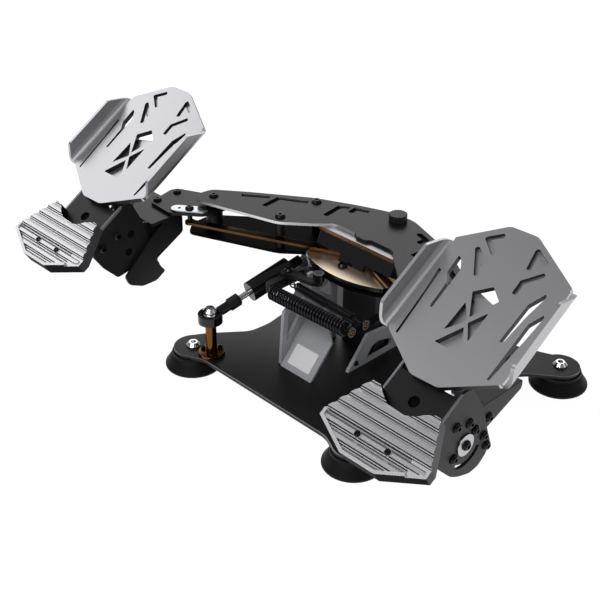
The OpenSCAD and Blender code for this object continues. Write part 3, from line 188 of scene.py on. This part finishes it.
def make_materials():
    made = {}

    # Powder coat on steel: black, with a fine orange peel that softens its highlights
    made["satin_black"], shader = finish_of("satin black powder coat", "#171718", 0.0, 0.34, 1.35)
    grain(made["satin_black"], shader, 0.8, 0.12, 0.05, (0.32, 0.44))

    # Moulded rubber: black, nearly without gloss
    made["rubber"], shader = finish_of("moulded black rubber", "#0A0A0B", 0.0, 0.5, 1.28)
    grain(made["rubber"], shader, 1.2, 0.10, 0.05, (0.48, 0.62))

    # Chrome plate on a steel button head: mirrors the lamps
    made["chrome"], shader = finish_of("polished chrome plate", "#D3D5D8", 1.0, 0.12)

    # Satin paint on the tower's folded sheet: pale, with a soft even sheen
    made["tower_grey"], shader = finish_of("satin light grey paint", "#ACADB1", 0.1, 0.42)
    grain(made["tower_grey"], shader, 0.7, 0.08, 0.04, (0.36, 0.46))

    # Film of the sticker: white and dull
    made["label_white"], shader = finish_of("bare satin polyester film", "#F2F2F3", 0.0, 0.45)

    # Textured mould finish of glass filled plastic: dark and dull
    made["housing_black"], shader = finish_of("moulded black nylon", "#18181A", 0.0, 0.5, 1.53)
    grain(made["housing_black"], shader, 0.9, 0.2, 0.06)

    # Turned and ground steel: bright, with blurred reflections
    made["steel"], shader = finish_of("turned steel", "#B9BBBE", 1.0, 0.25)

    # Black oxide on steel screws: dark, with a faint oily gloss
    made["screw_black"], shader = finish_of("black oxide steel", "#1E1E20", 0.7, 0.2)

    # Turned brass of the damper's post: dark gold with sharp highlights
    made["brass"], shader = finish_of("turned brass", "#6E4A22", 1.0, 0.14)

    # Solder mask over glass fibre board: green and glossy
    made["board_green"], shader = finish_of("green solder mask", "#17452A", 0.0, 0.3)

    # Phosphated and oiled spring wire: nearly black, with a glint on each turn
    made["spring_black"], shader = finish_of("black coated spring wire", "#2A2A2D", 0.9, 0.2)

    # Champagne anodised aluminium of the cam plates: pale gold
    made["champagne"], shader = finish_of("champagne anodised aluminium", "#EAD9C0", 1.0, 0.28)
    grain(made["champagne"], shader, 0.35, 0.06, 0.03, (0.26, 0.34))

    # Gloss black anodised aluminium of the damper and the wall between the cam plates: deep black. Also
    # painted shade on the lower cam plate's rim
    made["gloss_black"], shader = finish_of("gloss black anodised aluminium", "#101012", 0.2, 0.16)

    # Milled top face of the upper cam plate, left bare: plain grey metal
    made["milled_silver"], shader = finish_of("brushed bare aluminium", "#97979B", 1.0, 0.34)
    grain(made["milled_silver"], shader, 0.3, 0.05, 0.03, (0.28, 0.38))

    # Painted shade on the walls of the pedal plates' slots and the risers of the heel rests' ribs, so that
    # they read dark
    made["dark_edge"], shader = finish_of("dark grey painted shade of walls and risers", "#2A2A2E", 0.6, 0.38)

    # Painted shade, dull black, on the heel rests' skirts, the discs in the webs' holes, the floors of the
    # arm's slots, the brackets' undersides, the spring anchor and the arm's bottom plate: it throws back
    # hardly any light
    made["skirt_black"], shader = finish_of("dull black painted shade", "#0A0A0B", 0.0, 0.6, 1.2)
    shader.inputs["Specular IOR Level"].default_value = 0.15

    # Painted shade on the side walls of the heel rests: dark grey and dull
    made["cast_grey"], shader = finish_of("dark grey painted shade of side walls", "#3C3C40", 0.4, 0.45)
    grain(made["cast_grey"], shader, 0.6, 0.15, 0.05, (0.4, 0.52))

    # Brown anodised edge of the upper cam plate: a warm line under the bare top
    made["brown_edge"], shader = finish_of("brown anodised edge of aluminium", "#7E634D", 1.0, 0.3)

    # Painted highlight on the bends of the folded sheet: a shiny grey line
    made["rubbed_bend"], shader = finish_of("painted highlight at a bend", "#77777B", 0.7, 0.3)

    # Painted highlight on the front edge of the arm's top plate: a bright line
    made["bright_edge"], shader = finish_of("painted highlight on an edge of aluminium", "#E4E4E8", 1.0, 0.42)

    # Painted highlight on the edge of the base plate: a grey line
    made["thin_coat_edge"], shader = finish_of("painted highlight on a sheared edge", "#8A8A8E", 1.0, 0.3)

    # Bronze anodised aluminium of the tie rods: dark copper
    made["bronze"], shader = finish_of("bronze anodised aluminium", "#5E4226", 1.0, 0.22)

    # Cast and clear coated aluminium of the heel rests: paler than the pedal plates
    made["heel_silver"], shader = finish_of("clear coated cast aluminium", "#D6D6D8", 0.8, 0.36)
    grain(made["heel_silver"], shader, 0.5, 0.10, 0.03, (0.32, 0.42))

    # Bead blasted and clear anodised aluminium of the pedal plates: satin silver
    made["pedal_silver"], shader = finish_of("blasted clear anodised aluminium", "#BEBEC1", 1.0, 0.34)
    grain(made["pedal_silver"], shader, 0.35, 0.10, 0.03, (0.30, 0.40))
    return made


# Places on the part, in millimetres
def spot(x, y, z):
    """A point of the frame, given in the measures of the drawing."""
    return Vector((x, y + SHIFT_Y, z))


def in_pedal(side, point):
    """A point of the part as across, along and above the face of a pedal plate."""
    y, z = point.y - PEDAL_AT[1], point.z - PEDAL_AT[2]
    return (point.x - side * PEDAL_AT[0], y * math.cos(PEDAL_TILT) + z * math.sin(PEDAL_TILT),
            z * math.cos(PEDAL_TILT) - y * math.sin(PEDAL_TILT))


def tip_of(normal):
    """How much a face looks up out of a pedal plate, from -1 to 1."""
    return normal.z * math.cos(PEDAL_TILT) - normal.y * math.sin(PEDAL_TILT)


def flange_top():
    """The top of the brass post's flange, found on the node: the highest of its points outside the neck."""
    points = [v.co / MM for v in nodes["damper_post"].data.vertices]
    return max(p.z for p in points if math.hypot(p.x - POST_AT[0], p.y - POST_AT[1]) > POST_NECK_R)


# Tools for one piece
def only(obj):
    """Makes one object the only selected and the active one."""
    bpy.ops.object.select_all(action="DESELECT")
    obj.select_set(True)
    bpy.context.view_layer.objects.active = obj


def unpick(piece, kind):
    """Leaves a piece with nothing selected in it, so that the script can pick faces or edges."""
    only(piece)
    bpy.ops.object.mode_set(mode="EDIT")
    bpy.ops.mesh.select_mode(type=kind)
    bpy.ops.mesh.select_all(action="DESELECT")
    bpy.ops.object.mode_set(mode="OBJECT")


def apply_all(obj):
    only(obj)
    for modifier in list(obj.modifiers):
        bpy.ops.object.modifier_apply(modifier=modifier.name)


def bevelled(piece, name, width_mm, steps):
    """Adds a bevel of a piece's sharp edges, and returns it."""
    bevel = piece.modifiers.new(name, "BEVEL")
    bevel.width = width_mm * MM
    bevel.segments = steps
    bevel.limit_method = "ANGLE"
    return bevel


def settle(piece, material, body):
    """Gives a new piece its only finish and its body."""
    piece.data.materials.clear()
    piece.data.materials.append(material)
    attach(piece, body)


def stand_in(piece, node):
    """Lets a piece stand for a node: on its body and with its slot."""
    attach(piece, body_of_node[node])
    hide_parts(node)


# Copies of the nodes, with broken edges
def soften(piece, width_mm, wanted, finish):
    """Rounds the edges whose two ends pass a test, and gives the round a finish of its own, a painted
    highlight.
    """
    unpick(piece, "EDGE")
    mesh = piece.data
    for edge in mesh.edges:
        edge.select = wanted(*[mesh.vertices[v].co / MM for v in edge.vertices])
    bpy.ops.object.mode_set(mode="EDIT")
    bpy.ops.mesh.bevel(offset=width_mm * MM, segments=5, affect="EDGES", clamp_overlap=False)
    bpy.ops.object.mode_set(mode="OBJECT")
    mesh.materials.append(finish)
    for face in mesh.polygons:
        if face.select:
            face.material_index = len(mesh.materials) - 1


def is_wall(face):
    return abs(face.normal.z) < 0.3


def widen_slots(piece, by_mm):
    """Moves the walls of a flat plate's slots outwards, and returns their vertices, slot by slot.
    The plate's outline and its screw holes stay as they are."""
    mesh = piece.data
    slots = []
    walls = {face.index: face for face in mesh.polygons if is_wall(face)}
    faces_of = {}
    for face in walls.values():
        for v in face.vertices:
            faces_of.setdefault(v, []).append(face.index)
    left = set(walls)
    while left:
        ring, queue = set(), [left.pop()]
        while queue:
            index = queue.pop()
            ring.add(index)
            near = {other for v in walls[index].vertices for other in faces_of[v]} & left
            left -= near
            queue += near
        corners = {v for index in ring for v in walls[index].vertices}
        xs, ys = [[mesh.vertices[v].co[i] / MM for v in corners] for i in (0, 1)]
        least, most = SLOT_SPAN
        if not least < max(max(xs) - min(xs), max(ys) - min(ys)) < most:
            continue
        moves = {}
        for v in corners:
            normals = [walls[index].normal for index in faces_of[v]]
            total = sum(normals, Vector())
            moves[v] = -total * by_mm * MM * len(normals) / total.length_squared
        for v, move in moves.items():
            mesh.vertices[v].co += move
        slots.append(corners)
    return slots


def floor_slots(piece, slots, thick_mm, finish):
    """Closes each slot from below with a floor of its own outline, in painted shade so that the slot reads
    dark.
    """
    mesh = piece.data
    mesh.materials.append(finish)
    for corners in slots:
        low = min(mesh.vertices[v].co.z for v in corners)
        loop = {v for v in corners if mesh.vertices[v].co.z < low + 0.01 * MM}
        unpick(piece, "EDGE")
        rims = {frozenset(edge) for face in mesh.polygons if is_wall(face) for edge in face.edge_keys}
        for edge in mesh.edges:
            edge.select = set(edge.vertices) <= loop and frozenset(edge.vertices) in rims
        bpy.ops.object.mode_set(mode="EDIT")
        bpy.ops.mesh.duplicate_move()
        bpy.ops.mesh.edge_face_add()
        bpy.ops.mesh.extrude_region_move(TRANSFORM_OT_translate={"value": (0, 0, thick_mm * MM)})
        bpy.ops.mesh.select_linked()
        bpy.ops.mesh.normals_make_consistent(inside=False)
        piece.active_material_index = len(mesh.materials) - 1
        bpy.ops.object.material_slot_assign()
        bpy.ops.object.mode_set(mode="OBJECT")


def bends_of(node, materials):
    """Where a node's sheet is folded: the radius of the fold, the test for its edges, and the painted
    highlight on the fold.
    """
    side = -1 if node.startswith("left") else 1

    def at_fold(point):
        across, _, above = in_pedal(side, point)
        return abs(abs(across) - FOLD_HALF) < 0.1 and abs(above - WEB_ABOVE) < 0.1

    if node.endswith("pedal_bracket"):
        # The bracket's folds get a painted highlight along their round
        return [(2.4, lambda a, b: at_fold(a) and at_fold(b), materials["rubbed_bend"])]
    return []


def eased(node, width_mm, finish, materials):
    """A copy of a node whose edges are broken, so that they catch the light as real edges do."""
    piece = nodes[node].copy()
    piece.data = nodes[node].data.copy()
    piece.name = node + "_eased"
    bpy.context.scene.collection.objects.link(piece)
    piece.data.materials.clear()
    piece.data.materials.append(finish)
    only(piece)
    bpy.ops.object.mode_set(mode="EDIT")
    bpy.ops.mesh.select_all(action="SELECT")
    bpy.ops.mesh.remove_doubles(threshold=0.002 * MM)
    bpy.ops.mesh.dissolve_limited(angle_limit=math.radians(0.5))
    bpy.ops.object.mode_set(mode="OBJECT")
    if node == "arm_top_plate":
        # The arm's slots are closed with dull black floors of painted shade
        floor_slots(piece, widen_slots(piece, SLOT_WIDEN), SLOT_FLOOR, materials["skirt_black"])
    bends = bends_of(node, materials)
    for bend in bends:
        soften(piece, *bend)
    bevel = bevelled(piece, "edge", width_mm, 2)
    bevel.angle_limit = math.radians(30)
    bevel.use_clamp_overlap = True
    apply_all(piece)
    if bends:
        bpy.ops.object.shade_flat()
    else:
        bpy.ops.object.shade_smooth_by_angle(angle=math.radians(25))
        flat = piece.modifiers.new("flat", "WEIGHTED_NORMAL")
        flat.keep_sharp = True
        flat.weight = 100
        apply_all(piece)
    stand_in(piece, node)
    return piece


def dress_nodes(materials):
    """Gives every node its finish; the sheet metal and the turned pieces get broken edges."""
    springs = {"main_spring", "thin_spring", "left_brake_spring", "right_brake_spring"}
    pieces = {}
    for node, slot in slot_of_node.items():
        if node in springs:
            continue
        if slot in EDGE_MM and node != "circuit_board":
            finish = materials["heel_silver" if node.endswith("heel_rest") else slot]
            width = BASE_EDGE_MM if node == "base_plate" else EDGE_MM[slot]
            pieces[node] = eased(node, width, finish, materials)
        else:
            nodes[node].data.materials.clear()
            nodes[node].data.materials.append(materials[slot])
    return pieces


# Second finishes on some faces: most of them painted shade or painted highlights
def repaint(piece, material, wanted):
    """Gives a second finish to the faces whose middle and normal pass a test, both in the part's frame."""
    mesh = piece.data
    mesh.materials.append(material)
    for face in mesh.polygons:
        corners = [mesh.vertices[v].co for v in face.vertices]
        middle = Vector([(min(c[i] for c in corners) + max(c[i] for c in corners)) / 2 for i in range(3)])
        if wanted(middle / MM, face.normal):
            face.material_index = len(mesh.materials) - 1


def repaint_pedal(side, word, pieces, materials):
    """The faces of one pedal plate, heel rest and bracket that are darkened as painted shade."""
    def slot_wall(point, normal):
        across, _, above = in_pedal(side, point)
        inside = abs(across) < PEDAL_FLAT_HALF and -PEDAL_THICK - 0.2 < above < 0.3
        return inside and abs(tip_of(normal)) < 0.5

    def cheek(point, normal):
        return abs(normal.x) > 0.8 and in_pedal(side, point)[2] < CHEEK_TOP

    def skirt(point, normal):
        return abs(normal.x) <= 0.8 and tip_of(normal) < 0.5 and in_pedal(side, point)[2] < SKIRT_TOP

    def riser(point, normal):
        return normal.y < 0 and 0.1 < tip_of(normal) < 0.6 and in_pedal(side, point)[2] > RISER_FOOT

    def underside(point, normal):
        return tip_of(normal) < -0.9

    # Painted shade: slot walls, the rests' cheeks, skirts and rib risers, and the brackets' undersides are
    # darkened
    repaint(pieces[word + "_pedal_plate"], materials["dark_edge"], slot_wall)
    repaint(pieces[word + "_heel_rest"], materials["cast_grey"], cheek)
    repaint(pieces[word + "_heel_rest"], materials["skirt_black"], skirt)
    repaint(pieces[word + "_heel_rest"], materials["dark_edge"], riser)
    repaint(pieces[word + "_pedal_bracket"], materials["skirt_black"], underside)


def repaint_faces(pieces, materials):
    """The finishes that the slots of the nodes don't say, with the painted shade and painted highlights."""
    def rim(point, normal):
        return abs(normal.z) < 0.6

    def front_left_edge(point, normal):
        return abs(normal.z) < 0.8 and normal.y < -0.5 and normal.x > -0.4 and point.x < HIGHLIT_EDGE_X

    pieces["front_wall"].data.materials[0] = materials["gloss_black"]
    # Painted shade: the spring anchor and the arm's bottom plate are dull black
    pieces["spring_anchor"].data.materials[0] = materials["skirt_black"]
    pieces["arm_bottom_plate"].data.materials[0] = materials["skirt_black"]
    for side, word in SIDES:
        repaint_pedal(side, word, pieces, materials)
    repaint(pieces["upper_gold_plate"], materials["milled_silver"], lambda point, normal: normal.z > 0.9)
    repaint(pieces["upper_gold_plate"], materials["brown_edge"], rim)
    # Painted highlight: a grey line along the base plate's edge
    repaint(pieces["base_plate"], materials["thin_coat_edge"],
            lambda point, normal: 0.3 < normal.z < 0.95 and normal.y < 0.2)
    # Painted highlight: a bright line along the left of the arm's front edge
    repaint(pieces["arm_top_plate"], materials["bright_edge"], front_left_edge)
    # Painted shade: the lower cam plate's rim is gloss black
    repaint(pieces["lower_gold_plate"], materials["gloss_black"], rim)


# Springs of round wire
def bent_wire(name, points_mm, wire_mm, material):
    """Round wire bent along a list of points, closed at both ends."""
    data = bpy.data.curves.new(name, "CURVE")
    data.dimensions = "3D"
    line = data.splines.new("POLY")
    line.points.add(len(points_mm) - 1)
    for knot, point in zip(line.points, points_mm):
        knot.co = (point[0] * MM, point[1] * MM, point[2] * MM, 1)
    data.bevel_depth = wire_mm * MM / 2
    data.bevel_resolution = 3
    data.use_fill_caps = True
    wire = bpy.data.objects.new(name, data)
    bpy.context.scene.collection.objects.link(wire)
    only(wire)
    bpy.ops.object.convert(target="MESH")
    wire = bpy.context.object
    bpy.ops.object.shade_smooth_by_angle(angle=math.radians(50))
    wire.data.materials.append(material)
    return wire


def coil_points(start, end, radius, turns, first=0.0, steps=20):
    """Points of a coil whose turns lie round the line from start to end."""
    along = (end - start).normalized()
    side = Vector((0, 0, 1)).cross(along).normalized()
    up = along.cross(side)
    count = int(turns * steps)
    return [start + (end - start) * i / count + radius * (math.cos(first + 2 * math.pi * i / steps) * side
            + math.sin(first + 2 * math.pi * i / steps) * up) for i in range(count + 1)]


def upright_arc(centre, radius, start, sweep, steps):
    """Points of an arc that stands on the x axis."""
    turns = [start + sweep * i / steps for i in range(steps + 1)]
    return [centre + radius * Vector((math.cos(turn), 0, math.sin(turn))) for turn in turns]


def make_tension_springs(material):
    """The two springs from the lever to the brass pins, drawn at rest: the real springs bend and stretch as
    the lever swings, and these wires stay as drawn.
    """
    radius, wire_mm, turns = 6.1, 2.7, 26
    main = [spot(-43.4, 43.2, 94.5), spot(-41.5, 43.2, 94.5)]
    main += coil_points(spot(-40.0, 43.1, SPRING_Z), spot(53.5, 45.9, SPRING_Z), radius, turns, 0.5)
    main += [spot(55.5, 45.9, 96.0), spot(56.8, 46.0, 94.0)]
    wire = bent_wire("main_spring_wire", main, wire_mm, material)
    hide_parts("main_spring")
    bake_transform(wire)

    radius, wire_mm, turns = 3.55, 1.5, 36
    thin = upright_arc(spot(-38.5, 67.3, SPRING_Z), 3.6, math.pi * 1.1, -math.pi * 1.9, 18)
    thin += coil_points(spot(-31.5, 67.0, SPRING_Z), spot(44.5, 64.5, SPRING_Z), radius, turns, 0.5)
    thin += [spot(48.0, 64.1, SPRING_Z), spot(56.8, 64.0, SPRING_Z)]
    wire = bent_wire("thin_spring_wire", thin, wire_mm, material)
    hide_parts("thin_spring")
    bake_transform(wire)


def make_brake_springs(material):
    """The return springs of the two toe brakes, wound round the brake pins."""
    along, above = BRAKE_PIN
    radius, wire_mm, turns = 5.75, 2.0, 6
    half = Vector((8.2, 0, 0))
    for side, word in SIDES:
        node = word + "_brake_spring"
        y = PEDAL_AT[1] + along * math.cos(PEDAL_TILT) - above * math.sin(PEDAL_TILT)
        z = PEDAL_AT[2] + along * math.sin(PEDAL_TILT) + above * math.cos(PEDAL_TILT)
        middle = Vector((side * PEDAL_AT[0], y, z))
        path = coil_points(middle - half, middle + half, radius, turns)
        wire = bent_wire(node + "_wire", path, wire_mm, material)
        stand_in(wire, node)


# Small pieces that the solids leave out
def cap_screw(name, head_mm, height_mm, body, material):
    """The head of a socket screw, standing on z = 0: its rim is broken and its socket has six sides."""
    bpy.ops.object.select_all(action="DESELECT")
    bpy.ops.mesh.primitive_cylinder_add(vertices=36, radius=head_mm * MM / 2, depth=height_mm * MM,
                                        location=(0, 0, height_mm * MM / 2))
    head = bpy.context.object
    head.name = name
    bpy.ops.object.transform_apply(location=True, rotation=True, scale=True)
    bevelled(head, "rim", head_mm * 0.07, 3)
    apply_all(head)
    bpy.ops.mesh.primitive_cylinder_add(vertices=6, radius=head_mm * MM * 0.29, depth=height_mm * MM * 0.6,
                                        location=(0, 0, height_mm * MM * 0.9))
    socket = bpy.context.object
    cut = head.modifiers.new("socket", "BOOLEAN")
    cut.operation = "DIFFERENCE"
    cut.solver = "EXACT"
    cut.object = socket
    apply_all(head)
    bpy.data.objects.remove(socket, do_unlink=True)
    only(head)
    bpy.ops.object.shade_smooth_by_angle(angle=math.radians(30))
    settle(head, material, body)
    return head


def put(piece, name, matrix, body):
    """A copy of a piece with its own mesh, placed in the mesh."""
    copy = piece.copy()
    copy.data = piece.data.copy()
    copy.name = name
    copy.data.transform(matrix)
    bpy.context.scene.collection.objects.link(copy)
    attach(copy, body)


def collar(name, inner_mm, outer_mm, thick_mm, material, matrix):
    """A turned ring round the z axis with broken edges, then placed by a matrix."""
    bpy.ops.object.select_all(action="DESELECT")
    bpy.ops.mesh.primitive_circle_add(vertices=48, radius=inner_mm * MM, fill_type="NOTHING")
    ring = bpy.context.object
    ring.name = name
    bpy.ops.object.mode_set(mode="EDIT")
    bpy.ops.mesh.select_all(action="SELECT")
    bpy.ops.mesh.extrude_region_move()
    grow = outer_mm / inner_mm
    bpy.ops.transform.resize(value=(grow, grow, 1))
    bpy.ops.mesh.select_all(action="SELECT")
    bpy.ops.mesh.extrude_region_move(TRANSFORM_OT_translate={"value": (0, 0, thick_mm * MM)})
    bpy.ops.mesh.select_all(action="SELECT")
    bpy.ops.mesh.normals_make_consistent(inside=False)
    bpy.ops.object.mode_set(mode="OBJECT")
    bevelled(ring, "edge", thick_mm * 0.2, 2)
    apply_all(ring)
    bpy.ops.object.shade_smooth_by_angle(angle=math.radians(30))
    ring.data.transform(matrix)
    settle(ring, material, "base")


def shade_disc(name, matrix, material, body):
    """A dark disc in the hole of a bracket's web, as painted shade where the hole looks dark: a dished face
    inside a standing lip.
    """
    radius, thick = 4.82, 1.6
    bpy.ops.object.select_all(action="DESELECT")
    bpy.ops.mesh.primitive_cylinder_add(vertices=40, radius=radius * MM, depth=thick * MM,
                                        location=(0, 0, thick * MM / 2))
    piece = bpy.context.object
    piece.name = name
    bpy.ops.object.transform_apply(location=True, rotation=True, scale=True)
    unpick(piece, "FACE")
    for face in piece.data.polygons:
        face.select = face.normal.z > 0.9
    bpy.ops.object.mode_set(mode="EDIT")
    bpy.ops.mesh.inset(thickness=1.1 * MM, depth=0)
    bpy.ops.mesh.inset(thickness=0.5 * MM, depth=-0.7 * MM)
    bpy.ops.object.mode_set(mode="OBJECT")
    bpy.ops.object.shade_smooth_by_angle(angle=math.radians(40))
    piece.data.transform(matrix)
    settle(piece, material, body)


def make_fittings(materials):
    """Screws in the brass post's flange, collars on the brass pins and dark discs of painted shade in the
    brackets' webs.
    """
    post = Vector((*POST_AT, flange_top()))
    turns = [math.radians(degrees) for degrees in (200, 320, 80)]
    spots = [Matrix.Translation((post + POST_SCREWS_R * Vector((math.cos(turn), math.sin(turn), 0))) * MM)
             for turn in turns]
    seed = cap_screw("flange_screw_1", 4.6, 2.6, "base", materials["screw_black"])
    for index, matrix in enumerate(spots[1:]):
        put(seed, "flange_screw_%d" % (index + 2), matrix, "base")
    seed.data.transform(spots[0])

    sideways = Matrix.Rotation(math.radians(90), 4, "Y")
    for index, y in enumerate((46, 64)):
        matrix = Matrix.Translation(spot(60.1, y, 93.8) * MM) @ sideways
        collar("pin_collar_%d" % (index + 1), 2.9, 4.9, 1.4, materials["gloss_black"], matrix)

    tilted = Matrix.Rotation(PEDAL_TILT, 4, "X")
    in_web = Matrix.Translation(Vector(WEB_HOLE) * MM)
    for side, word in SIDES:
        pedal = Matrix.Translation(Vector((side * PEDAL_AT[0], PEDAL_AT[1], PEDAL_AT[2])) * MM)
        # Painted shade: a dull black disc in each web's hole
        shade_disc(word + "_web_shade_disc", pedal @ tilted @ in_web, materials["skirt_black"],
             body_of_node[word + "_pedal_bracket"])


# Studio: white paper and a white background, soft lamps on the left, behind and in front, a dark ceiling
def largest(tree, *sockets):
    """The largest of several values."""
    found = sockets[0]
    for socket in sockets[1:]:
        found = add(tree, "ShaderNodeMath", {"operation": "MAXIMUM"}, {0: found, 1: socket}).outputs[0]
    return found


def make_world():
    """White where the camera looks past the floor, and a dark ceiling as the light on the part."""
    world = bpy.data.worlds.new("studio")
    bpy.context.scene.world = world
    world.use_nodes = True
    tree = world.node_tree
    tree.nodes.clear()
    out = add(tree, "ShaderNodeOutputWorld")
    path = add(tree, "ShaderNodeLightPath")
    where = add(tree, "ShaderNodeTexCoord")
    split = add(tree, "ShaderNodeSeparateXYZ", {}, {"Vector": where.outputs["Generated"]})
    ramp = add(tree, "ShaderNodeValToRGB", {}, {"Fac": split.outputs["Z"]})
    horizon, ceiling = ramp.color_ramp.elements
    horizon.position = 0.05
    horizon.color = (0.30, 0.30, 0.31, 1)
    ceiling.position = 0.9
    ceiling.color = (0.25, 0.25, 0.252, 1)
    # Below the horizon, metal shows the white background as well. The ceiling over it is dark
    below = add(tree, "ShaderNodeMath", {"operation": "LESS_THAN", 1: 0.0}, {0: split.outputs["Z"]})
    gloss = add(tree, "ShaderNodeMath", {"operation": "MULTIPLY"},
                {0: below.outputs[0], 1: path.outputs["Is Glossy Ray"]})
    seen = largest(tree, path.outputs["Is Camera Ray"], path.outputs["Is Transmission Ray"], gloss.outputs[0])
    mix = add(tree, "ShaderNodeMix", {"data_type": "RGBA", 7: (1, 1, 1, 1)},
              {0: seen, 6: ramp.outputs["Color"]})
    light = add(tree, "ShaderNodeBackground", {"Strength": 1.0}, {"Color": mix.outputs[2]})
    tree.links.new(light.outputs[0], out.inputs["Surface"])


def make_floor():
    """White paper that is white to the eye and in metal, and still takes the part's shadow."""
    bpy.ops.object.select_all(action="DESELECT")
    bpy.ops.mesh.primitive_plane_add(size=8)
    floor = bpy.context.object
    floor.name = "floor"
    material = bpy.data.materials.new("white paper")
    material.use_nodes = True
    tree = material.node_tree
    tree.nodes.clear()
    out = add(tree, "ShaderNodeOutputMaterial")
    path = add(tree, "ShaderNodeLightPath")
    paper = add(tree, "ShaderNodeBsdfDiffuse", {"Color": (0.85, 0.85, 0.85, 1)})
    glow = add(tree, "ShaderNodeEmission", {"Strength": 1.12})
    seen = largest(tree, path.outputs["Is Camera Ray"], path.outputs["Is Transmission Ray"],
                   path.outputs["Is Glossy Ray"])
    share = add(tree, "ShaderNodeMath", {"operation": "MULTIPLY", 1: 0.86}, {0: seen})
    mixed = add(tree, "ShaderNodeMixShader", {},
                {0: share.outputs[0], 1: paper.outputs[0], 2: glow.outputs[0]})
    tree.links.new(mixed.outputs[0], out.inputs["Surface"])
    floor.data.materials.append(material)


def lamp(name, place, aim, wide, high, power):
    """A rectangular soft lamp that points from its place at its aim."""
    data = bpy.data.lights.new(name, "AREA")
    data.shape = "RECTANGLE"
    data.size = wide
    data.size_y = high
    data.energy = power
    obj = bpy.data.objects.new(name, data)
    turn = (Vector(aim) - Vector(place)).to_track_quat("-Z", "Y").to_matrix().to_4x4()
    obj.matrix_world = Matrix.Translation(Vector(place)) @ turn
    bpy.context.scene.collection.objects.link(obj)


def make_studio():
    make_world()
    make_floor()
    lamp("left_softbox", (-1.75, -0.35, 1.45), (-0.15, 0, 0.15), 1.5, 0.9, 6.6)
    lamp("back_softbox", (-1.35, 1.35, 1.25), (0, 0, 0.1), 1.5, 1.1, 9)
    lamp("right_strip", (1.5, 0.9, 0.9), (0.1, 0, 0.12), 0.4, 1.4, 1.5)
    lamp("front_fill", (0.25, -1.5, 1.9), (0, 0, 0.12), 1.6, 0.8, 21)
    bpy.context.scene.view_settings.view_transform = "Standard"


make_camera()
materials = make_materials()
pieces = dress_nodes(materials)
repaint_faces(pieces, materials)
make_tension_springs(materials["spring_black"])
make_brake_springs(materials["spring_black"])
make_fittings(materials)
make_studio()
